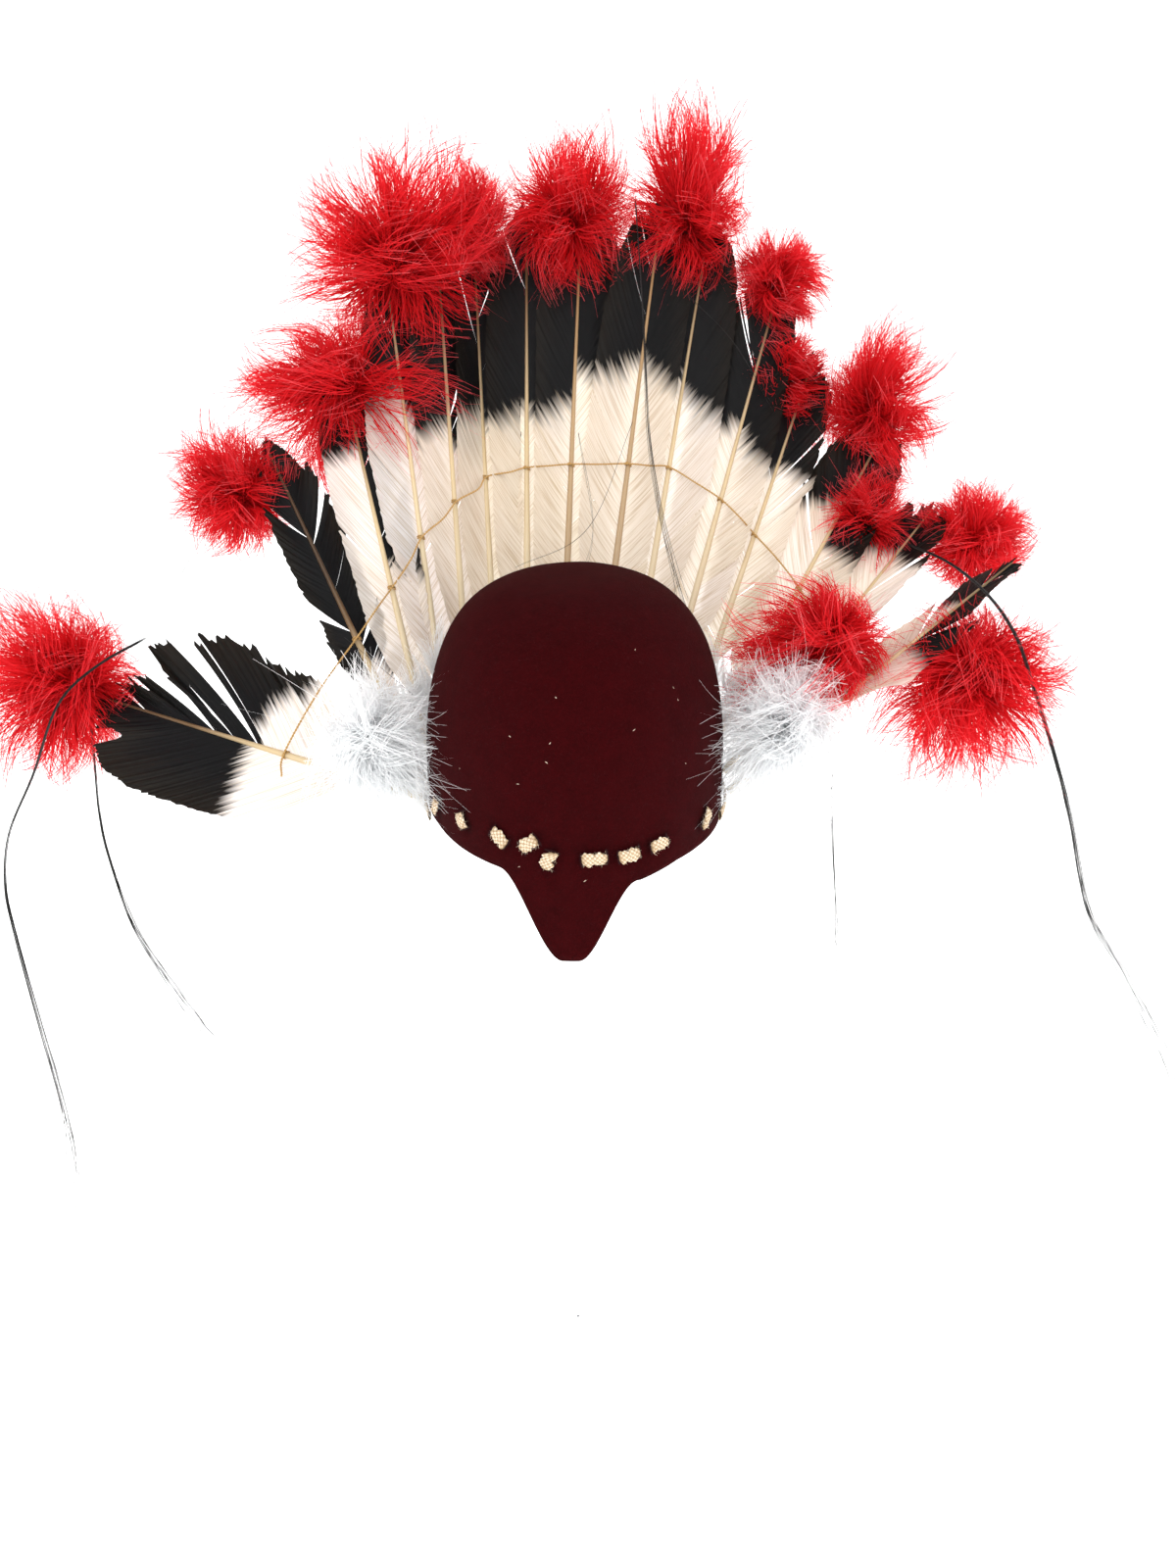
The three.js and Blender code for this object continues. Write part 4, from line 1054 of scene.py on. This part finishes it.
@dataclass
class MarabouTuft:
    """One marabou plume: soft locks that burst from a head, each a bundle of fine barbs."""

    name: str
    dye: Down
    seed: int
    locks: int = 96
    barbs: int = 24
    fill: int = 800
    wisps: int = 130
    half: float = 0.42  # half width of a barb at its root
    sweep: tuple[float, float, float] = (0.0, 0.0, 0.0)  # where the locks lean, as a share of the reach
    slack: tuple[float, float, float] = (28.0, 16.0, 26.0)  # mm that fine ends may pass the solids' box
    sheaf: tuple[float, float, float] | None = None  # mm from the head to where long barbs lead
    grown: float = 1.38  # the barbs' reach over the solid's, since their ends are sparse

    def _directions(self, rng: np.random.Generator, count: int) -> Array:
        """Even directions all round (a golden spiral), shaken a little."""
        k = np.arange(count) + 0.5
        z = 1 - 2 * k / count
        turn = np.pi * (1 + 5**0.5) * k
        ring = np.sqrt(1 - z * z)
        even = np.stack([ring * np.cos(turn), ring * np.sin(turn), z], axis=1)
        return unit(even + rng.normal(size=(count, 3)) * 0.22)

    def shape(self) -> Shape:
        """Locks, an inner fill and long wisps, all as tapered strips.

        A lock's middle line is a curve from near the head to its tip, bent aside and leant by the sweep.
        Its barbs start round that line, swell out to a spindle and draw together at the tip.
        """
        rng = np.random.default_rng(self.seed)
        middle, reach = node_box(self.name)
        reach = reach * self.grown
        sweep = np.array(self.sweep) * reach
        ways = self._directions(rng, self.locks)
        lobes = unit(rng.normal(size=(5, 3)))
        lobe = np.clip((ways @ lobes.T).max(axis=1, keepdims=True) - 0.5, 0, 1) / 0.5
        length = rng.uniform(0.78, 1.0, (self.locks, 1)) * (0.84 + 0.3 * lobe)
        tips = middle + ways * reach * length + sweep * length**2 * 0.5
        roots = middle + ways * reach * 0.12 + rng.normal(size=(self.locks, 3)) * reach * 0.06
        bend = square_to(rng.normal(size=(self.locks, 3)), ways) * reach.mean() * 0.24
        stations = 6
        t = np.linspace(0, 1, stations)[None, None, :, None]
        pick = (slice(None), None, None, slice(None))
        size = (self.locks, self.barbs, 1, 1)
        end = rng.uniform(0.62, 1.06, size)
        s = t * end
        lock = roots[pick] + (tips - roots)[pick] * s + bend[pick] * (4 * s * (1 - s))
        radial = square_to(rng.normal(size=(self.locks, self.barbs, 1, 3)), ways[pick])
        spindle = rng.uniform(0.25, 1.0, size) * reach.mean() * 0.17
        swell = s**0.7 * np.clip(1.15 - s, 0, 1) ** 0.75 * 1.7
        sway = np.sin(s * 5 + rng.uniform(0, 6, size))
        wiggle = radial * spindle * swell + np.cross(radial, ways[pick]) * spindle * 0.35 * sway
        stray = radial * reach.mean() * 0.10 * s**3 * rng.uniform(-0.4, 1.0, size)
        paths = (lock + wiggle + stray).reshape(-1, stations, 3)
        half = self.half * (1 - 0.74 * t[..., 0]) * rng.uniform(0.7, 1.2, size[:3])
        halves = half.reshape(-1, stations)
        # On the red down, tip paints shade near the head and light on the thin ends.
        tip = (s[..., 0] * np.ones((self.locks, self.barbs, stations))).reshape(-1, stations)
        tone = rng.uniform(0.25, 1.0, (self.locks, 1, 1)) + 0.25 * rng.normal(size=(self.locks, self.barbs, 1))
        tone = np.clip(tone, 0, 1)
        tone = (tone * np.ones((1, 1, stations))).reshape(-1, stations)
        body = ribbons(paths, halves, self._rolled(rng, paths), tip=np.clip(tip, 0, 1), tone=tone)
        parts = [
            body,
            self._burst(rng, middle, reach, sweep, self.fill, 0.35, 0.88, 0.6, 5),
            self._burst(rng, middle, reach, sweep, self.wisps, 0.85, 1.15, 0.18, 8),
        ]
        tuft = Shape.joined(parts + ([self._long_barbs(rng, middle, reach)] if self.sheaf else []))
        low, high = (np.array(corner) / METRES for corner in CAD_BOX)
        tuft.points = np.clip(tuft.points, low - np.array(self.slack), high + np.array(self.slack))
        return tuft

    def _long_barbs(self, rng: np.random.Generator, middle: Array, reach: Array, count: int = 260) -> Shape:
        """Long fine barbs that fan from the head towards the sheaf's end and bend a little, each to its own side."""
        target = np.array(self.sheaf)
        size = np.linalg.norm(target)
        way = unit(target + rng.normal(size=(count, 3)) * size * 0.30)
        length = size * rng.uniform(0.55, 1.1, (count, 1, 1))
        t = np.linspace(0, 1, 9)[None, :, None]
        root = middle + rng.normal(size=(count, 3)) * reach * 0.2
        bend = square_to(rng.normal(size=(count, 3)), way) * size * rng.uniform(0.02, 0.16, (count, 1))
        paths = root[:, None] + way[:, None] * length * t + bend[:, None] * t**2
        halves = 0.14 * (1 - 0.7 * t[..., 0]) * np.ones((count, 1))
        tip = 0.4 + 0.6 * t[..., 0] * np.ones((count, 1))
        tone = np.broadcast_to(rng.uniform(0.6, 1.0, (count, 1)), tip.shape)
        return ribbons(paths, halves, self._rolled(rng, paths), tip=tip, tone=tone)

    def _rolled(self, rng: np.random.Generator, paths: Array) -> Array:
        """A direction across each strip, square to its line and turned at random round it."""
        return square_to(rng.normal(size=(len(paths), 3)), unit(paths[:, -1] - paths[:, 0]))

    def _burst(
        self, rng: np.random.Generator, middle: Array, reach: Array, sweep: Array,
        count: int, least: float, most: float, half: float, stations: int,
    ) -> Shape:
        """Single bent strips from the head outwards.

        Args:
            rng: The source of chance.
            middle: The head.
            reach: Half size of the tuft along each axis.
            sweep: Where the tips lean.
            count: How many strips.
            least: Shortest, as a share of the reach.
            most: Longest, as a share of the reach.
            half: Half width at the root in millimetres.
            stations: Points along each strip.
        Returns:
            The strips.
        """
        ways = self._directions(rng, count)
        length = rng.uniform(least, most, (count, 1))
        bend = square_to(rng.normal(size=(count, 3)), ways) * reach.mean() * rng.uniform(0.05, 0.3, (count, 1))
        t = np.linspace(0, 1, stations)[None, :, None]
        tips = ways * reach * length + sweep * length**2 * 0.5
        paths = middle + (tips[:, None] * (0.08 + 0.92 * t)) + bend[:, None] * t**2
        halves = half * (1 - 0.8 * t[..., 0]) * rng.uniform(0.6, 1.1, (count, 1))
        tip = np.clip(t[..., 0] * length, 0, 1)
        tone = np.broadcast_to(rng.uniform(0.1, 0.8, (count, 1)), tip.shape)
        return ribbons(paths, halves, self._rolled(rng, paths), tip=tip, tone=tone)


# Where the red plumes' locks lean, as shares of their reach, by plume.
SWEEPS = {
    1: (-0.35, 0.0, -0.1), 2: (-0.2, 0.0, 0.1), 3: (-0.1, 0.0, -0.3), 4: (-0.1, 0.0, 0.35), 5: (0.1, 0.0, 0.1),
    6: (0.0, 0.0, 0.2), 7: (-0.1, 0.0, 0.35), 8: (0.3, 0.0, 0.1), 9: (0.1, 0.0, -0.3), 10: (0.3, 0.0, 0.2),
    12: (0.2, 0.0, 0.3), 13: (0.1, -0.3, -0.45), 14: (-0.6, -0.2, -0.3),
}


# ------------------------------------------------------------------ horsehair


@dataclass
class HairLock:
    """A lock of horsehair: single hairs that follow one route and part towards its free end."""

    name: str
    route: tuple[tuple[float, float, float], ...]
    hairs: int = 20
    spread: float = 4.0  # mm from the middle line at the free end
    curl: float = 10.0  # mm that stray ends turn aside
    radius: float = 0.2
    seed: int = 1

    def shape(self) -> Shape:
        """Three-sided tubes along the route, each moved aside by its own slow wave and end curl."""
        rng = np.random.default_rng(self.seed)
        stations = 64
        middle = smooth_path(np.array(self.route), stations)
        tangent = unit(np.gradient(middle, axis=0))
        first = square_to(np.broadcast_to([0.0, 1.0, 0.1], tangent.shape), tangent)
        second = np.cross(tangent, first)
        t = np.linspace(0, 1, stations)[None, :]
        stop = 1 - rng.uniform(0, 0.16, (self.hairs, 1)) * (np.arange(self.hairs)[:, None] > 2)
        s = t * stop
        place = np.stack([[np.interp(row, t[0], middle[:, k]) for k in range(3)] for row in s]).transpose(0, 2, 1)
        one = np.stack([[np.interp(row, t[0], first[:, k]) for k in range(3)] for row in s]).transpose(0, 2, 1)
        two = np.stack([[np.interp(row, t[0], second[:, k]) for k in range(3)] for row in s]).transpose(0, 2, 1)
        turn, share = rng.uniform(0, 2 * np.pi, (self.hairs, 1)), rng.uniform(0.1, 1, (self.hairs, 1))
        width = (0.7 + (self.spread - 0.7) * s**2.2) * share
        spin = turn + s * rng.uniform(-6, 6, (self.hairs, 1))
        turned = rng.uniform(size=(self.hairs, 1)) < 0.4
        stray = turned * self.curl * smooth_step(0.78, 1.0, s) * rng.normal(size=(self.hairs, 1))
        paths = place + one * (width * np.cos(spin) * 0.6)[..., None] + two * (width * np.sin(spin) + stray)[..., None]
        radii = self.radius * (1 - 0.5 * s)
        radii[:, [0, -1]] = 0.01
        tone = np.broadcast_to(rng.uniform(0.2, 1, (self.hairs, 1)), s.shape)
        return tubes(paths, radii, 3, tip=s, tone=tone)


LOCKS = (
    HairLock("horsehair_left_long", (
        (-228, 0, 95), (-255, -6, 81), (-280, -5, 59), (-309, 10, 12), (-339, 25, -33), (-356, 38, -75),
        (-358, 40, -110), (-355, 40, -185), (-352, 40, -250), (-354, 40, -310), (-364, 40, -358),
    ), 16, 5.0, 12.0, seed=3),
    HairLock("horsehair_left_short", (
        (-278, 24, 34), (-284, 32, 4), (-288, 36, -24), (-289, 40, -55), (-281, 40, -105), (-264, 40, -148),
        (-246, 40, -186), (-226, 40, -214),
    ), 14, 8.0, 10.0, seed=4),
    HairLock("horsehair_centre", (
        (36, 192, 316), (41, 166, 246), (44, 141, 186), (49, 130, 150), (54, 118, 126), (62, 104, 98), (70, 86, 74),
    ), 8, 5.0, 5.0, seed=5),
    HairLock("horsehair_right_long", (
        (188, 60, 133), (205, 30, 128), (221, 8, 115), (233, -6, 97), (244, -6, 74), (266, 5, 32), (290, 20, -17),
        (318, 30, -89), (355, 35, -144), (398, 35, -214), (402, 35, -246),
    ), 18, 7.0, 14.0, seed=6),
    HairLock("horsehair_right_short", (
        (150, 40, 56), (150, 38, 40), (150, 35, 20), (155, 34, -38), (162, 35, -92), (170, 35, -148),
    ), 6, 4.0, 9.0, seed=7),
)
STRAYS = (
    ((-42, 206, 319), (7, 197, 315), (43, 200, 308), (81, 208, 291), (112, 188, 257)),
    ((69, 195, 263), (99, 177, 235), (126, 175, 194)),
    ((-243, 40, 90), (-227, 62, 115), (-211, 78, 143)),
    ((-131, 35, 85), (-103, 21, 67), (-79, 43, 35)),
    ((1, 150, 184), (10, 130, 128), (1, 117, 93)),
    ((35, 155, 190), (7, 130, 128), (-39, 119, 105)),
)


# ------------------------------------------------------------------ the whole headdress


PLUMES = 14
FLUFFS = 13
EAR_FLUFFS = (1, FLUFFS)  # the two large ones


@dataclass
class Headdress:
    """All the sub-assemblies, built in the order in which the real one is put together."""

    cap: FeltCap = field(default_factory=FeltCap)
    lace: Lace = field(default_factory=Lace)
    fan: FeatherFan = field(default_factory=FeatherFan)

    def build_cap(self) -> None:
        """Builds the felt, its nap, the lace's stretches and the back band."""
        felt, nap, lace = FeltFinish().build(), WOOL_FUZZ.build(), LACE.build()
        names = [f"lace_stitch_{k:02d}" for k in range(1, 10)]
        places = [StitchPlace.of_node(name) for name in names]
        make_piece("felt_shell", self.cap.shell(places), felt, ("felt_cap",))
        make_piece("felt_nap", self.cap.nap(), nap)
        make_piece("felt_lint", self.cap.lint(), lace)
        for seed, place in enumerate(places):
            make_piece(f"{place.name}_braid", self.lace.stretch(place, seed), lace, (place.name,))
        make_piece("lace_fray", Shape.joined([self.lace.fray(p, 60 + k) for k, p in enumerate(places)]), lace)
        # Dark leaves of painted shade in the slits, drawn in the nap's darkest colour (tip and tone 0).
        make_piece("lace_slit_shade", Shape.joined([self.lace.slit(p) for p in places]), nap)
        make_piece("back_lace_braid", self.lace.band(self.cap), lace, ("back_lace",))

    def build_feathers(self) -> None:
        """Builds each feather's vane and quill, and the thread that ties them."""
        vane, quill, thread = VaneFinish().build(), QUILL.build(), THREAD.build()
        for index in range(len(self.fan.rows)):
            node = f"feather_{index + 1:02d}"
            both = Shape.joined([self.fan.vane(index, -1), self.fan.vane(index, 1)])
            make_piece(f"{node}_vane", both, vane, (node,))
            make_piece(f"{node}_quill", self.fan.quill(index), quill)
        bridle = BridleThread(self.fan)
        make_piece("bridle_thread_plies", bridle.plies(), thread, ("bridle_thread",))
        make_piece("bridle_thread_knots", bridle.knots(), thread)

    def build_down(self) -> None:
        """Builds the red plumes on the tips and the white fluff round the quills' feet."""
        red, white = RED_DOWN.build(), WHITE_DOWN.build()
        for k in range(1, PLUMES + 1):
            name = f"{Down.RED.value}_{k:02d}"
            tuft = MarabouTuft(name, Down.RED, 300 + k, sweep=SWEEPS.get(k, (0.0, 0.0, 0.0)))
            make_piece(f"{name}_down", tuft.shape(), red, (name,))
        for k in range(1, FLUFFS + 1):
            name = f"{Down.WHITE.value}_{k:02d}"
            if k in EAR_FLUFFS:
                inward = 1 if k == 1 else -1
                tuft = MarabouTuft(
                    name, Down.WHITE, 400 + k, sweep=(0.2 * inward, -0.2, -0.4), sheaf=(44 * inward, -66, 6), grown=1.32
                )
            else:
                tuft = MarabouTuft(name, Down.WHITE, 400 + k, locks=30, barbs=16, fill=240, wisps=40, grown=1.35)
            make_piece(f"{name}_down", tuft.shape(), white, (name,))

    def build_hair(self) -> None:
        """Builds the horsehair locks and the stray hairs that lie over the fan."""
        hair = HORSEHAIR.build()
        for lock in LOCKS:
            make_piece(f"{lock.name}_hairs", lock.shape(), hair, (lock.name,))
        strays = [HairLock("stray", route, 2, 2.0, 2.0, 0.14, seed=20 + k).shape() for k, route in enumerate(STRAYS)]
        make_piece("horsehair_strays", Shape.joined(strays), hair)


def main() -> None:
    """Builds the studio and the headdress."""
    logging.basicConfig(level=logging.INFO, format="%(name)s: %(message)s")
    bpy.context.scene.view_settings.view_transform = "Standard"
    Studio().build()
    headdress = Headdress()
    headdress.build_cap()
    headdress.build_feathers()
    headdress.build_down()
    headdress.build_hair()


if __name__ == "__main__":
    main()
